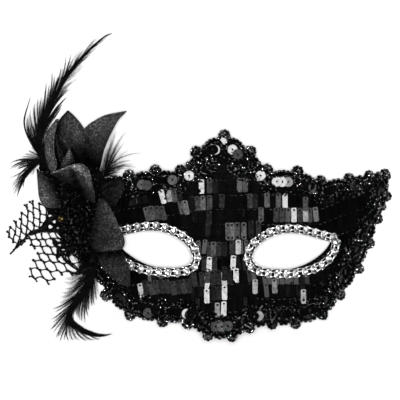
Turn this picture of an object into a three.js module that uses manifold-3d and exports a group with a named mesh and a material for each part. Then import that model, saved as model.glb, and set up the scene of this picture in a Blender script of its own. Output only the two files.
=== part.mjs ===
// A sequined masquerade eye mask, lying face up on a table.
// Millimetres, +Z up, +Y towards the wearer's forehead, +X to the right as the mask is seen from the front.
// Everything is laid out in the mask's own frame, whose origin is between the eyes at rim level.
// The finished group is moved at the end, so that the part's origin lies on the table, under its middle.
import * as THREE from "three";
import { mergeVertices } from "three/addons/utils/BufferGeometryUtils.js";
import Module from "manifold-3d";

const wasm = await Module();
wasm.setup();

// Driving sizes of the moulded face.
const TEMPLE_HALF_WIDTH = 92; // from the middle to the rim, at the temple corners
const TEMPLE_Y = 36; // the rim narrows below this height on the face
const RIM_TAPER = 0.0055; // how fast it narrows, per millimetre squared
const CROWN = 42; // the forehead's height above the rim
const WRAP_POWER = 2.2; // how the face bends back towards the temples
const BROW_LEAN = { from: 18, rate: 0.005 }; // the brow leans back above this line
const CHIN_LEAN = { from: -20, rate: 0.006 }; // and the cheeks below this one
const CHEEK_RISE = { from: -14, to: -48, height: 16 }; // the lower rim lifts off the table
const NOSE = { from: 14, to: -44, bridge: 3, tip: 14, narrow: 10, wide: 17 };
const SOCKET = { x: 39, y: -5, wide: 27, high: 15, depth: 4.5 };

// Layers, measured outwards from the inside of the moulded base.
const BASE_WALL = 1.2;
const GAP = 0.3;
const LOOSE_GAP = 0.6; // under the braid and the stone bands, which bend less closely
const SHEET = { halfWidth: 97, halfHeight: 65, columns: 28, rows: 16 };
const CLOTH = { from: BASE_WALL + GAP, to: BASE_WALL + GAP + 0.8 };
const TRIM = { from: CLOTH.to + LOOSE_GAP, to: CLOTH.to + LOOSE_GAP + 2.6 };
const BAND = { from: CLOTH.to + LOOSE_GAP, to: CLOTH.to + LOOSE_GAP + 2.2 };

// The beaded braid: its rosettes stand on these points round the rim, clockwise from the forehead.
const ROSETTES = [
  [1, 58], [15.5, 49], [24.5, 39], [41.5, 38], [54.5, 33], [70.5, 34.5], [82, 36], [91, 37],
  [92, 24.5], [87, 12], [82.5, -2], [76.5, -16], [66, -30.5], [56, -41.5], [40.5, -46],
  [27.5, -46], [15, -48], [5.2, -52.5], [-8, -52], [-19, -45.5], [-33, -44.5],
  [-51, -41], [-64.5, -30.5], [-76.5, -16], [-82.5, -2], [-87, 12], [-92, 24.5], [-91, 37],
  [-82, 36], [-69, 34.5], [-51.5, 36], [-37, 38.5], [-23, 38.5], [-14.5, 49],
];
const ROSETTE_RADIUS = 3.3;
const LOBE_BULGE = 0.8; // how far the braid's arcs stand out between two rosettes
const NOTCH = -1; // and how far it falls back beside a rosette
const BRAID_WIDTH = 13;
const INNER_SCALLOP = 2.5; // the braid is narrower by this halfway between two rosettes
const RIM_INSET = 5.5; // the moulded base ends this far inside the rosettes
const AXIS_HALF = 50; // the braid's width points at the line between the eyes, this long each way

// Eye opening, for the eye at +X: its two corners, its highest and lowest points, and how far
// the curve keeps the direction that it has at each.
const EYE = {
  inner: { x: 16.4, y: -9.1, up: 5.3, down: 4.9 },
  top: { x: 37.4, y: 4.2, inwards: 12, outwards: 8.2 },
  outer: { x: 60.1, y: -0.7, up: 1.9, backAbove: 8.9, down: 7.2, backBelow: 2.4, growsUp: 0.6 },
  bottom: { x: 34.7, y: -16, inwards: 12.9, outwards: 9.8 },
};
const LEFT_TILT = { from: 19, rate: 0.067 }; // the eye at -X climbs by this rate beyond this distance
const EYE_STEPS = 7; // straight stretches in each quarter of the opening's edge
const BAND_WIDTH = 4.8;
const BAND_SETBACK = 0.3;
const BAND_SAG = { out: 1.2, down: 2, along: 3 }; // the band hangs away from the opening's outer corner

const FLOOR = 2.3; // the table, in the mask's own frame: the braid's rosettes stand on it
const TIE_PAD = { x: 71, y: 22, side: 12, thick: 0.8, sunk: 0.72 };
const CUTTER = { below: 60, height: 160 }; // prisms that cut the layers reach past them by far

// Shared maths
function ease(from, to, value) {
  return THREE.MathUtils.smoothstep((value - from) / (to - from), 0, 1);
}

function rimHalfWidth(y) {
  return TEMPLE_HALF_WIDTH - RIM_TAPER * Math.max(0, TEMPLE_Y - y) ** 2;
}

function faceHeight(x, y) {
  const wrap = Math.abs(x / rimHalfWidth(y)) ** WRAP_POWER;
  const rim = CHEEK_RISE.height * ease(CHEEK_RISE.from, CHEEK_RISE.to, y);
  const crown = CROWN
    - BROW_LEAN.rate * Math.max(0, y - BROW_LEAN.from) ** 2
    - CHIN_LEAN.rate * Math.max(0, CHIN_LEAN.from - y) ** 2;
  const down = ease(NOSE.from, NOSE.to, y);
  const spread = THREE.MathUtils.lerp(NOSE.narrow, NOSE.wide, down);
  const nose = THREE.MathUtils.lerp(0, NOSE.tip, down) + NOSE.bridge * ease(30, 5, y);
  const socket = ((Math.abs(x) - SOCKET.x) / SOCKET.wide) ** 2 + ((y - SOCKET.y) / SOCKET.high) ** 2;
  return rim + (crown - rim) * (1 - wrap)
    + nose * Math.exp(-((x / spread) ** 2))
    - SOCKET.depth * Math.exp(-socket);
}

function normalOf(height, x, y) {
  const step = 0.5;
  const dx = (height(x + step, y) - height(x - step, y)) / (2 * step);
  const dy = (height(x, y + step) - height(x, y - step)) / (2 * step);
  return new THREE.Vector3(-dx, -dy, 1).normalize();
}

const faceNormal = (x, y) => normalOf(faceHeight, x, y);

// The point right above or below (x, y) that is the given distance outside the moulded base.
function onMask(x, y, out) {
  let qx = x;
  let qy = y;
  let normal = faceNormal(qx, qy);
  for (let pass = 0; pass < 4; pass++) {
    qx = x - normal.x * out;
    qy = y - normal.y * out;
    normal = faceNormal(qx, qy);
  }
  return new THREE.Vector3(qx, qy, faceHeight(qx, qy)).addScaledVector(normal, out);
}

// Towards the line between the eyes: the way in from the rim.
function inward(point) {
  const x = THREE.MathUtils.clamp(point.x, -AXIS_HALF, AXIS_HALF);
  return new THREE.Vector2(x - point.x, -point.y).normalize();
}

const rimCurve = new THREE.CatmullRomCurve3(
  ROSETTES.map(([x, y]) => new THREE.Vector3(x, y, 0)), true, "centripetal",
);

function rimPoint(station, inset) {
  const p = rimCurve.getPoint((station / ROSETTES.length) % 1);
  const at = new THREE.Vector2(p.x, p.y);
  return at.addScaledVector(inward(at), inset);
}

// Solids
function solid(geometry) {
  const bare = new THREE.BufferGeometry().setAttribute("position", geometry.getAttribute("position"));
  bare.setIndex(geometry.index);
  const merged = mergeVertices(bare, 1e-4);
  return new wasm.Manifold(new wasm.Mesh({
    numProp: 3,
    vertProperties: merged.attributes.position.array,
    triVerts: new Uint32Array(merged.index.array),
  }));
}

function geometryOf(manifold) {
  const mesh = manifold.getMesh();
  return new THREE.BufferGeometry()
    .setAttribute("position", new THREE.BufferAttribute(new Float32Array(mesh.vertProperties), 3))
    .setIndex(new THREE.BufferAttribute(new Uint32Array(mesh.triVerts), 1));
}

// Joins closed rings of points into one skin, with both ends capped unless it runs round on itself.
function loft(rings, closed = false) {
  const count = rings[0].length;
  const positions = rings.flat().flatMap((p) => [p.x, p.y, p.z]);
  const index = [];
  const last = closed ? rings.length : rings.length - 1;
  for (let i = 0; i < last; i++) {
    const here = i * count;
    const next = ((i + 1) % rings.length) * count;
    for (let j = 0; j < count; j++) {
      const k = (j + 1) % count;
      index.push(here + j, here + k, next + k, here + j, next + k, next + j);
    }
  }
  const end = (rings.length - 1) * count;
  for (let j = 1; !closed && j < count - 1; j++) {
    index.push(0, j + 1, j, end, end + j, end + j + 1);
  }
  const skin = new THREE.BufferGeometry()
    .setAttribute("position", new THREE.BufferAttribute(new Float32Array(positions), 3));
  return skin.setIndex(index);
}

// A sheet of the mask's own curve between two distances out, wide enough to be cut to any outline.
// Its columns stand closest at the nose. Both faces are split the same way, so that layers stay clear.
function faceSheet(from, to) {
  const { halfWidth, halfHeight, columns, rows } = SHEET;
  const positions = [];
  for (const out of [to, from]) {
    for (let j = 0; j <= rows; j++) {
      for (let i = 0; i <= columns; i++) {
        const t = (2 * i) / columns - 1;
        const x = halfWidth * (0.5 * t + 0.5 * t ** 3);
        const y = halfHeight * ((2 * j) / rows - 1);
        const p = new THREE.Vector3(x, y, faceHeight(x, y)).addScaledVector(faceNormal(x, y), out);
        positions.push(p.x, p.y, p.z);
      }
    }
  }
  const upper = (i, j) => j * (columns + 1) + i;
  const lower = (i, j) => upper(i, j) + (columns + 1) * (rows + 1);
  const index = [];
  for (let j = 0; j < rows; j++) {
    for (let i = 0; i < columns; i++) {
      index.push(upper(i, j), upper(i + 1, j), upper(i + 1, j + 1));
      index.push(upper(i, j), upper(i + 1, j + 1), upper(i, j + 1));
      index.push(lower(i, j), lower(i + 1, j + 1), lower(i + 1, j));
      index.push(lower(i, j), lower(i, j + 1), lower(i + 1, j + 1));
    }
  }
  const wall = (i, j, k, l) => {
    index.push(lower(i, j), lower(k, l), upper(k, l), lower(i, j), upper(k, l), upper(i, j));
  };
  for (let i = 0; i < columns; i++) {
    wall(i, 0, i + 1, 0);
    wall(i + 1, rows, i, rows);
  }
  for (let j = 0; j < rows; j++) {
    wall(columns, j, columns, j + 1);
    wall(0, j + 1, 0, j);
  }
  const skin = new THREE.BufferGeometry()
    .setAttribute("position", new THREE.BufferAttribute(new Float32Array(positions), 3));
  return solid(skin.setIndex(index));
}

// An upright prism through the whole mask, of a plan outline.
function prism(points) {
  const shape = new THREE.Shape(points);
  const block = new THREE.ExtrudeGeometry(shape, { depth: CUTTER.height, bevelEnabled: false });
  return solid(block.translate(0, 0, -CUTTER.below));
}

// The opening's edge, moved out by growth. A share of the sag bends its outer lower quarter out.
function eyeOutline(side, growth, sagging = 0) {
  const { inner, top, outer, bottom } = EYE;
  const left = inner.x - growth;
  const right = outer.x + growth;
  const high = top.y + growth;
  const low = bottom.y - growth;
  const tip = outer.y + outer.growsUp * growth;
  const path = new THREE.Path();
  path.moveTo(left, inner.y);
  path.bezierCurveTo(left, inner.y + inner.up + growth, top.x - top.inwards, high, top.x, high);
  path.bezierCurveTo(
    top.x + top.outwards, high, outer.x - outer.backAbove, outer.y + outer.up + growth, right, tip,
  );
  path.bezierCurveTo(
    right - outer.backBelow + sagging * BAND_SAG.out, outer.y - outer.down - growth - sagging * BAND_SAG.down,
    bottom.x + bottom.outwards + sagging * BAND_SAG.along, low, bottom.x, low,
  );
  path.bezierCurveTo(
    bottom.x - bottom.inwards, low, left, inner.y - inner.down - growth, left, inner.y,
  );
  const points = path.getPoints(EYE_STEPS).slice(0, -1);
  if (side > 0) return points;
  const climb = (p) => LEFT_TILT.rate * (p.x - LEFT_TILT.from);
  return points.map((p) => new THREE.Vector2(-p.x, p.y + climb(p))).reverse();
}

function maskOutline() {
  const points = [];
  for (let i = 0; i < ROSETTES.length * 2; i++) points.push(rimPoint(i / 2, RIM_INSET));
  return points;
}

function faceLayer(from, to, eyeGrowth) {
  let layer = faceSheet(from, to).intersect(prism(maskOutline()));
  for (const side of [1, -1]) layer = layer.subtract(prism(eyeOutline(side, eyeGrowth)));
  return layer;
}

// A flat patch inside the temple, where a ribbon or an elastic is glued.
function tiePad(side) {
  const centre = onMask(side * TIE_PAD.x, TIE_PAD.y, 0);
  const normal = faceNormal(side * TIE_PAD.x, TIE_PAD.y);
  const pad = new THREE.BoxGeometry(TIE_PAD.side, TIE_PAD.side, TIE_PAD.thick + TIE_PAD.sunk);
  const turn = new THREE.Quaternion().setFromUnitVectors(new THREE.Vector3(0, 0, 1), normal);
  const middle = (TIE_PAD.sunk - TIE_PAD.thick) / 2;
  pad.applyQuaternion(turn).translate(...centre.addScaledVector(normal, middle).toArray());
  return solid(pad);
}

function base() {
  return faceLayer(0, BASE_WALL, 0).add(tiePad(1)).add(tiePad(-1));
}

function aboveFloor(manifold) {
  const wide = 4 * SHEET.halfWidth;
  const room = new THREE.BoxGeometry(wide, wide, CUTTER.height);
  return manifold.intersect(solid(room.translate(0, 0, FLOOR + CUTTER.height / 2)));
}

// The braid round the rim: arcs between rosettes outside, and a plainer scalloped edge inside.
function beadedTrim() {
  const outside = [
    [0, ROSETTE_RADIUS], [0.16, ROSETTE_RADIUS * 0.6], [0.24, NOTCH], [0.5, LOBE_BULGE],
    [0.76, NOTCH], [0.84, ROSETTE_RADIUS * 0.6],
  ];
  const rings = [];
  for (let i = 0; i < ROSETTES.length; i++) {
    for (const [share, out] of outside) {
      const inner = BRAID_WIDTH - INNER_SCALLOP * Math.sin(Math.PI * share) ** 2;
      const ring = [-out, inner / 2, inner].map((inset) => rimPoint(i + share, inset));
      const upper = ring.map((p) => onMask(p.x, p.y, TRIM.to));
      const lower = ring.map((p) => onMask(p.x, p.y, TRIM.from)).reverse();
      rings.push([...upper, ...lower]);
    }
  }
  return aboveFloor(solid(loft(rings, true)));
}

// A band of set stones round one eye.
function rhinestoneBand(side) {
  const inner = eyeOutline(side, BAND_SETBACK, 1);
  const outer = eyeOutline(side, BAND_SETBACK + BAND_WIDTH, 1);
  const rings = inner.map((p, i) => {
    const q = outer[i];
    return [
      onMask(q.x, q.y, BAND.to), onMask(p.x, p.y, BAND.to),
      onMask(p.x, p.y, BAND.from), onMask(q.x, q.y, BAND.from),
    ];
  });
  return solid(loft(rings, true));
}

// Flower, feathers and netting stand over this surface, which follows the mask and then levels out.
function carrier(x, y) {
  const level = 5;
  const blend = 5;
  const h = faceHeight(x, y);
  return (h + level + Math.hypot(h - level, blend)) / 2;
}

const petalShape = (s) => Math.sin(Math.PI * s ** 0.85) ** 0.8;
const quillShape = (s) => Math.sin(Math.PI * (0.12 + 0.88 * s)) ** 0.7;
const fanShape = (s) => 0.15 + 0.85 * s ** 0.8;

// A thin curved blade along a path of [x, y, height over the carrier], lying along the carrier.
// Its edges stand up by cup, and roll turns it about its path.
function blade({ path, width, cup = 0, roll = 0, thick = 0.8, steps = 9, shape = petalShape, least = 0.5 }) {
  const curve = new THREE.CatmullRomCurve3(
    path.map(([x, y, over]) => new THREE.Vector3(x, y, carrier(x, y) + over)), false, "centripetal",
  );
  const rings = [];
  for (let i = 0; i <= steps; i++) {
    const s = i / steps;
    const centre = curve.getPoint(s);
    const along = curve.getTangent(s);
    const across = normalOf(carrier, centre.x, centre.y).cross(along).normalize()
      .applyAxisAngle(along, THREE.MathUtils.degToRad(roll));
    const normal = along.clone().cross(across).normalize();
    const half = Math.max(least, (width / 2) * shape(s));
    const at = (k, over) => centre.clone()
      .addScaledVector(across, k * half)
      .addScaledVector(normal, cup * k * k * (half / (width / 2)) + over);
    rings.push([
      at(-1, -thick / 2), at(0, -thick / 2), at(1, -thick / 2),
      at(1, thick / 2), at(0, thick / 2), at(-1, thick / 2),
    ]);
  }
  return solid(loft(rings));
}

const PETALS = {
  petal_top_left: {
    path: [[-80, 24, 12], [-84, 42, 12], [-86, 60, 12], [-86.5, 73, 11]],
    width: 19, cup: 1.5,
  },
  petal_top_right: {
    path: [[-72, 26, 12], [-71, 45, 14], [-66, 61, 14], [-53, 72, 12]],
    width: 16, cup: 1.5,
  },
  petal_curled: {
    path: [[-88, 34, 15], [-97, 46, 16], [-97, 58, 17], [-91, 68, 15]],
    width: 6, roll: -50,
  },
  petal_inner: { path: [[-84, 32, 16], [-86, 42, 18], [-86, 51, 18]], width: 7, steps: 6 },
  petal_front: { path: [[-76, 22, 20], [-78, 34, 26], [-86, 40, 28], [-96, 37, 25]], width: 15, cup: -3 },
  petal_left: { path: [[-84, 19, 11], [-93, 25, 10], [-104, 39, 8]], width: 14, cup: 1 },
  petal_right: { path: [[-71, 18, 12], [-63, 25, 10], [-53, 33, 8]], width: 14, cup: 1 },
  petal_lower_right: { path: [[-69, 22, 19], [-63, 10, 18], [-63, -7, 16]], width: 23, cup: -2 },
  petal_low: { path: [[-71, -4, 12], [-64, -13, 12], [-52, -26, 10]], width: 13, cup: 1 },
};

const FEATHERS = {
  feather_tall: {
    path: [[-90, 28, 6], [-100, 48, 6], [-98, 68, 8], [-88, 89, 11], [-75, 106, 14], [-62.5, 115.5, 15]],
    width: 13, thick: 1.2, steps: 14, shape: quillShape,
  },
  feather_wisp: {
    path: [[-101, 50, 2], [-107, 59, 2], [-110, 67, 4], [-107, 78, 6]],
    width: 7, thick: 1.2, shape: quillShape,
  },
  feather_left: {
    path: [[-100, 42, 3.5], [-109, 39, 2], [-118, 33, 0.5]],
    width: 12, thick: 1.2, steps: 7, shape: fanShape,
  },
  feather_right: {
    path: [[-70, 38, 9], [-60, 44, 8], [-47, 52, 7]],
    width: 20, thick: 1.2, steps: 7, shape: fanShape,
  },
  feather_low: {
    path: [[-73, -10, 9.5], [-76, -27, 10], [-85, -41, 9], [-84, -49, 9], [-74, -52.3, 9], [-62, -53, 9]],
    width: 16, thick: 1.2, steps: 12, shape: quillShape,
  },
};

const NETS = {
  net_upper: { path: [[-90, 11, 9], [-101, 11, 5], [-118, 4, 2]], width: 24, steps: 7, shape: fanShape },
  net_lower: { path: [[-80, 1, 9], [-89, -8, 6], [-97, -17, 4]], width: 30, steps: 7, shape: fanShape },
};

const HEART = { x: -78, y: 5, over: 16, size: [7, 14, 4.5], folds: 5, depth: 0.1 };
const BEAD = { x: -89.2, y: 12, over: 14, radius: 2.2 };

// The gathered tulle at the flower's heart: a ball pressed and pinched into folds.
function tulleHeart() {
  const at = new THREE.Vector3(HEART.x, HEART.y, carrier(HEART.x, HEART.y) + HEART.over);
  const size = new THREE.Vector3(...HEART.size);
  const ball = new THREE.SphereGeometry(1, 14, 8);
  const p = ball.getAttribute("position");
  for (let i = 0; i < p.count; i++) {
    const v = new THREE.Vector3().fromBufferAttribute(p, i);
    const pinch = Math.sin(HEART.folds * Math.atan2(v.y, v.x));
    const fold = 1 + HEART.depth * pinch * Math.hypot(v.x, v.y);
    v.multiplyScalar(fold).multiply(size).add(at);
    p.setXYZ(i, v.x, v.y, v.z);
  }
  return solid(ball);
}

function goldBead() {
  const bead = new THREE.SphereGeometry(BEAD.radius, 12, 8);
  return solid(bead.translate(BEAD.x, BEAD.y, carrier(BEAD.x, BEAD.y) + BEAD.over));
}

// Materials
function finish(color, roughness, metalness = 0) {
  return new THREE.MeshStandardMaterial({ color, roughness, metalness });
}

const plastic = finish(0x101010, 0.6);
const sequins = finish(0x0c0c0d, 0.25);
const beads = finish(0x08080a, 0.12);
const stones = finish(0xdadde2, 0.15, 0.9);
const satin = finish(0x2c2c2e, 0.7);
const plume = finish(0x0b0b0b, 0.8);
const tulle = finish(0x0a0a0a, 0.7);
const gold = finish(0xb98a2a, 0.25, 0.9);

const mask = new THREE.Group();

function piece(name, manifold, material) {
  const mesh = new THREE.Mesh(geometryOf(manifold), material);
  mesh.name = name;
  mask.add(mesh);
}

piece("mask_base", base(), plastic);
piece("sequin_cloth", faceLayer(CLOTH.from, CLOTH.to, 0.3), sequins);
piece("beaded_trim", beadedTrim(), beads);
piece("rhinestone_band_right", rhinestoneBand(1), stones);
piece("rhinestone_band_left", rhinestoneBand(-1), stones);
for (const [name, spec] of Object.entries(PETALS)) piece(name, blade(spec), satin);
for (const [name, spec] of Object.entries(FEATHERS)) piece(name, blade(spec), plume);
for (const [name, spec] of Object.entries(NETS)) piece(name, blade(spec), tulle);
piece("tulle_heart", tulleHeart(), tulle);
piece("gold_bead", goldBead(), gold);

// The origin: on the table, under the middle of the whole part.
const box = new THREE.Box3().setFromObject(mask);
const middle = box.getCenter(new THREE.Vector3());
mask.position.set(-middle.x, -middle.y, -box.min.z);

const part = new THREE.Group();
part.add(mask);

export default part;
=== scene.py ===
# A sequined masquerade half mask that lies face up on a pale floor, seen from straight above.
# Shapes are worked out in millimetres in the mask's own frame, whose origin is between the eyes at rim
# level: +X to the right as seen from the front, +Y towards the forehead, +Z out of the face.
import math

import bpy
import numpy as np
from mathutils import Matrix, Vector
from mathutils.geometry import delaunay_2d_cdt


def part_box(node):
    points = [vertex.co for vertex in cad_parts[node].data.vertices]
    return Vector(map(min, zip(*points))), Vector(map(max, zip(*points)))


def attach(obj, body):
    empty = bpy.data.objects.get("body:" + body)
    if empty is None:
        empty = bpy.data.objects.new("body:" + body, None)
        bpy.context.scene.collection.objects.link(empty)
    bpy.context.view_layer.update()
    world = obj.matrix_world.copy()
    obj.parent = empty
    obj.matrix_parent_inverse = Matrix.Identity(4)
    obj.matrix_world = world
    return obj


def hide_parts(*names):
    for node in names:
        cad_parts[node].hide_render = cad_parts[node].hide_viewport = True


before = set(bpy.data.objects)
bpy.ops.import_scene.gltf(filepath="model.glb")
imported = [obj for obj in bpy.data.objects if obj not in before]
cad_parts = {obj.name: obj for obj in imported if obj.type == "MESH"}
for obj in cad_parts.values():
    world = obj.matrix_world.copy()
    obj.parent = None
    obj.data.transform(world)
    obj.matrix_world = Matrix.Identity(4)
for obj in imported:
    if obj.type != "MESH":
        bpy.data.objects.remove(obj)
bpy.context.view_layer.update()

MM = 0.001

# The moulded face
TEMPLE_HALF_WIDTH = 92.0
TEMPLE_Y = 36.0
RIM_TAPER = 0.0055
CROWN = 42.0
WRAP_POWER = 2.2
BROW_LEAN = dict(start=18.0, rate=0.005)
CHIN_LEAN = dict(start=-20.0, rate=0.006)
CHEEK_RISE = dict(start=-14.0, end=-48.0, height=16.0)
NOSE = dict(start=14.0, end=-44.0, tip=14.0, narrow=10.0, wide=17.0)
BRIDGE = dict(start=30.0, end=5.0, height=3.0)
SOCKET = dict(x=39.0, y=-5.0, wide=27.0, high=15.0, depth=4.5)
FLOOR = 2.3  # the table's height in the mask's own frame
LEVEL = 5.0  # what the carrier levels out to beside the mask
LEVEL_BLEND = 5.0
MASK_TOP = 52.5  # the moulded base's highest edge on the forehead

# Layers, measured outwards from the inside of the moulded base
BASE = (0.0, 1.2)
CLOTH = (1.5, 2.0)
TRIM_FOOT = 2.9

ROSETTES = np.array([
    (1, 58), (15.5, 49), (24.5, 39), (41.5, 38), (54.5, 33), (70.5, 34.5), (82, 36), (91, 37), (92, 24.5),
    (87, 12), (82.5, -2), (76.5, -16), (66, -30.5), (56, -41.5), (40.5, -46), (27.5, -46), (15, -48),
    (5.2, -52.5), (-8, -52), (-19, -45.5), (-33, -44.5), (-51, -41), (-64.5, -30.5), (-76.5, -16),
    (-82.5, -2), (-87, 12), (-92, 24.5), (-91, 37), (-82, 36), (-69, 34.5), (-51.5, 36), (-37, 38.5),
    (-23, 38.5), (-14.5, 49),
])
STATIONS = len(ROSETTES)
AXIS_HALF = 50.0  # the braid's width points at the line between the eyes, this long each way
RIM_INSET = 5.5  # the moulded base ends this far inside the rosettes
RIM_STEPS = 6  # points of an outline for each station

EYE_STEPS = 24  # points along each quarter of an eye opening's edge
EYE = dict(
    inner=dict(x=16.4, y=-9.1, up=5.3, down=4.9),
    top=dict(x=37.4, y=4.2, inwards=12, outwards=8.2),
    outer=dict(x=60.1, y=-0.7, up=1.9, back_above=8.9, down=7.2, back_below=2.4, grows_up=0.6),
    bottom=dict(x=34.7, y=-16, inwards=12.9, outwards=9.8),
)
LEFT_TILT = dict(start=19.0, rate=0.067)  # the left eye climbs by this rate beyond this distance
# The stone band hangs away from the opening's outer corner.
BAND_SAG = dict(tip=0.9, rise=0.4, out=3.4, down=2.6, along=4.4)

# The picture: 400 x 400 pixels, taken from straight above
PICTURE = 400
PIXEL = 0.56  # millimetres on the floor for one pixel
CENTRE = (-12.32, 22.4)  # the picture's middle, in the mask's own frame
CAMERA_HEIGHT = 2500.0
KEY_HEIGHT = 3000.0
TINY = 1e-9  # keeps lengths that are divided by away from nothing


def mask_origin():
    """The mask's own origin in the part's frame, in metres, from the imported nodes."""
    x = (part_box("rhinestone_band_left")[0].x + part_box("rhinestone_band_right")[1].x) / 2
    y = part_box("mask_base")[1].y - MASK_TOP * MM
    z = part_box("beaded_trim")[0].z - FLOOR * MM
    return np.array((x, y, z))


ORIGIN = mask_origin()


# Shared maths
def unit(vectors):
    return vectors / np.linalg.norm(vectors, axis=-1, keepdims=True)


def ease(start, end, value):
    """A smooth step from 0 at the start to 1 at the end."""
    t = np.clip((value - start) / (end - start), 0, 1)
    return t * t * (3 - 2 * t)


def circle(sides, shift=0.0):
    """Angles evenly round a circle, moved on by a share of their step."""
    return 2 * math.pi * (np.arange(sides) + shift) / sides


def oval(x, y, wide, tall, sides):
    """Plan points evenly round an oval with the given half sizes."""
    turn = circle(sides)
    return np.stack([x + wide * np.cos(turn), y + tall * np.sin(turn)], -1)


def face_height(x, y):
    half_width = TEMPLE_HALF_WIDTH - RIM_TAPER * np.maximum(0, TEMPLE_Y - y) ** 2
    wrap = np.abs(x / half_width) ** WRAP_POWER
    rim = CHEEK_RISE["height"] * ease(CHEEK_RISE["start"], CHEEK_RISE["end"], y)
    crown = CROWN - BROW_LEAN["rate"] * np.maximum(0, y - BROW_LEAN["start"]) ** 2
    crown = crown - CHIN_LEAN["rate"] * np.maximum(0, CHIN_LEAN["start"] - y) ** 2
    down = ease(NOSE["start"], NOSE["end"], y)
    spread = NOSE["narrow"] + (NOSE["wide"] - NOSE["narrow"]) * down
    nose = NOSE["tip"] * down + BRIDGE["height"] * ease(BRIDGE["start"], BRIDGE["end"], y)
    socket = ((np.abs(x) - SOCKET["x"]) / SOCKET["wide"]) ** 2
    socket = socket + ((y - SOCKET["y"]) / SOCKET["high"]) ** 2
    height = rim + (crown - rim) * (1 - wrap) + nose * np.exp(-((x / spread) ** 2))
    return height - SOCKET["depth"] * np.exp(-socket)


def carrier(x, y):
    """The surface that the flower, feathers and netting stand over: the mask, levelling out beside it."""
    h = face_height(x, y)
    return (h + LEVEL + np.hypot(h - LEVEL, LEVEL_BLEND)) / 2


def normal_of(height, x, y):
    step = 0.5
    dx = (height(x + step, y) - height(x - step, y)) / (2 * step)
    dy = (height(x, y + step) - height(x, y - step)) / (2 * step)
    return unit(np.stack([-dx, -dy, np.ones_like(dx)], -1))


def on_mask(x, y, out):
    """Points right above (x, y), the given distance outside the moulded base, and the normals there."""
    x = np.asarray(x, float)
    y = np.asarray(y, float)
    qx, qy = x, y
    normal = normal_of(face_height, qx, qy)
    for _ in range(4):
        qx = x - normal[..., 0] * out
        qy = y - normal[..., 1] * out
        normal = normal_of(face_height, qx, qy)
    foot = np.stack([qx, qy, face_height(qx, qy)], -1)
    return foot + normal * np.asarray(out)[..., None], normal


def above_mask(x, y, out):
    """The points of on_mask without their normals."""
    return on_mask(x, y, out)[0]


def from_picture(px, py, z):
    """The plan position of what is seen at a pixel of the picture, when it lies at height z."""
    shrink = PIXEL * (1 - (z - FLOOR) / CAMERA_HEIGHT)
    return CENTRE[0] + (px - PICTURE / 2) * shrink, CENTRE[1] - (py - PICTURE / 2) * shrink


def seen_on_mask(px, py, out, start=40.0):
    """The plan position on the mask, at the given distance out, of what is seen at a pixel."""
    x, y = from_picture(px, py, start)
    for _ in range(3):
        x, y = from_picture(px, py, above_mask(x, y, out)[..., 2])
    return x, y


def lifted(px, py, over, start=15.0):
    """Points over the carrier that are seen at the given pixels."""
    x, y = from_picture(px, py, start)
    for _ in range(3):
        z = carrier(x, y) + over
        x, y = from_picture(px, py, z)
    return np.stack([x, y, z], -1)


def catmull_rom(points, places, closed=False):
    """Centripetal Catmull-Rom curve through points; places are point numbers, with fractions."""
    points = np.asarray(points, float)
    places = np.asarray(places, float)
    count = len(points)
    if closed:
        index = np.floor(places).astype(int)
        pick = [points[(index + k) % count] for k in (-1, 0, 1, 2)]
    else:
        index = np.clip(np.floor(places).astype(int), 0, count - 2)
        padded = np.vstack([2 * points[:1] - points[1:2], points, 2 * points[-1:] - points[-2:-1]])
        pick = [padded[index + k] for k in (0, 1, 2, 3)]
    p0, p1, p2, p3 = pick
    t = (places - index)[..., None]

    def gap(a, b):
        return np.maximum(np.sum((a - b) ** 2, -1, keepdims=True) ** 0.25, 1e-4)

    d0, d1, d2 = gap(p0, p1), gap(p1, p2), gap(p2, p3)
    m1 = ((p1 - p0) / d0 - (p2 - p0) / (d0 + d1) + (p2 - p1) / d1) * d1
    m2 = ((p2 - p1) / d1 - (p3 - p1) / (d1 + d2) + (p3 - p2) / d2) * d1
    cubic = 2 * p1 - 2 * p2 + m1 + m2
    square = -3 * p1 + 3 * p2 - 2 * m1 - m2
    return p1 + t * (m1 + t * (square + t * cubic))


def along_path(path, count):
    """Points along a whole path, with the same number of them between any two of its own."""
    return catmull_rom(path, np.linspace(0, len(path) - 1, count))


def rim_point(station, inset):
    """A point round the rim, by rosette number with fractions, and millimetres in from the rosettes."""
    p = catmull_rom(ROSETTES, station, closed=True)
    inward = unit(np.stack([np.clip(p[..., 0], -AXIS_HALF, AXIS_HALF) - p[..., 0], -p[..., 1]], -1))
    return p + inward * np.asarray(inset)[..., None]


def bezier(a, b, c, d, t):
    t = t[:, None]
    return (1 - t) ** 3 * a + 3 * (1 - t) ** 2 * t * b + 3 * (1 - t) * t * t * c + t ** 3 * d


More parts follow.
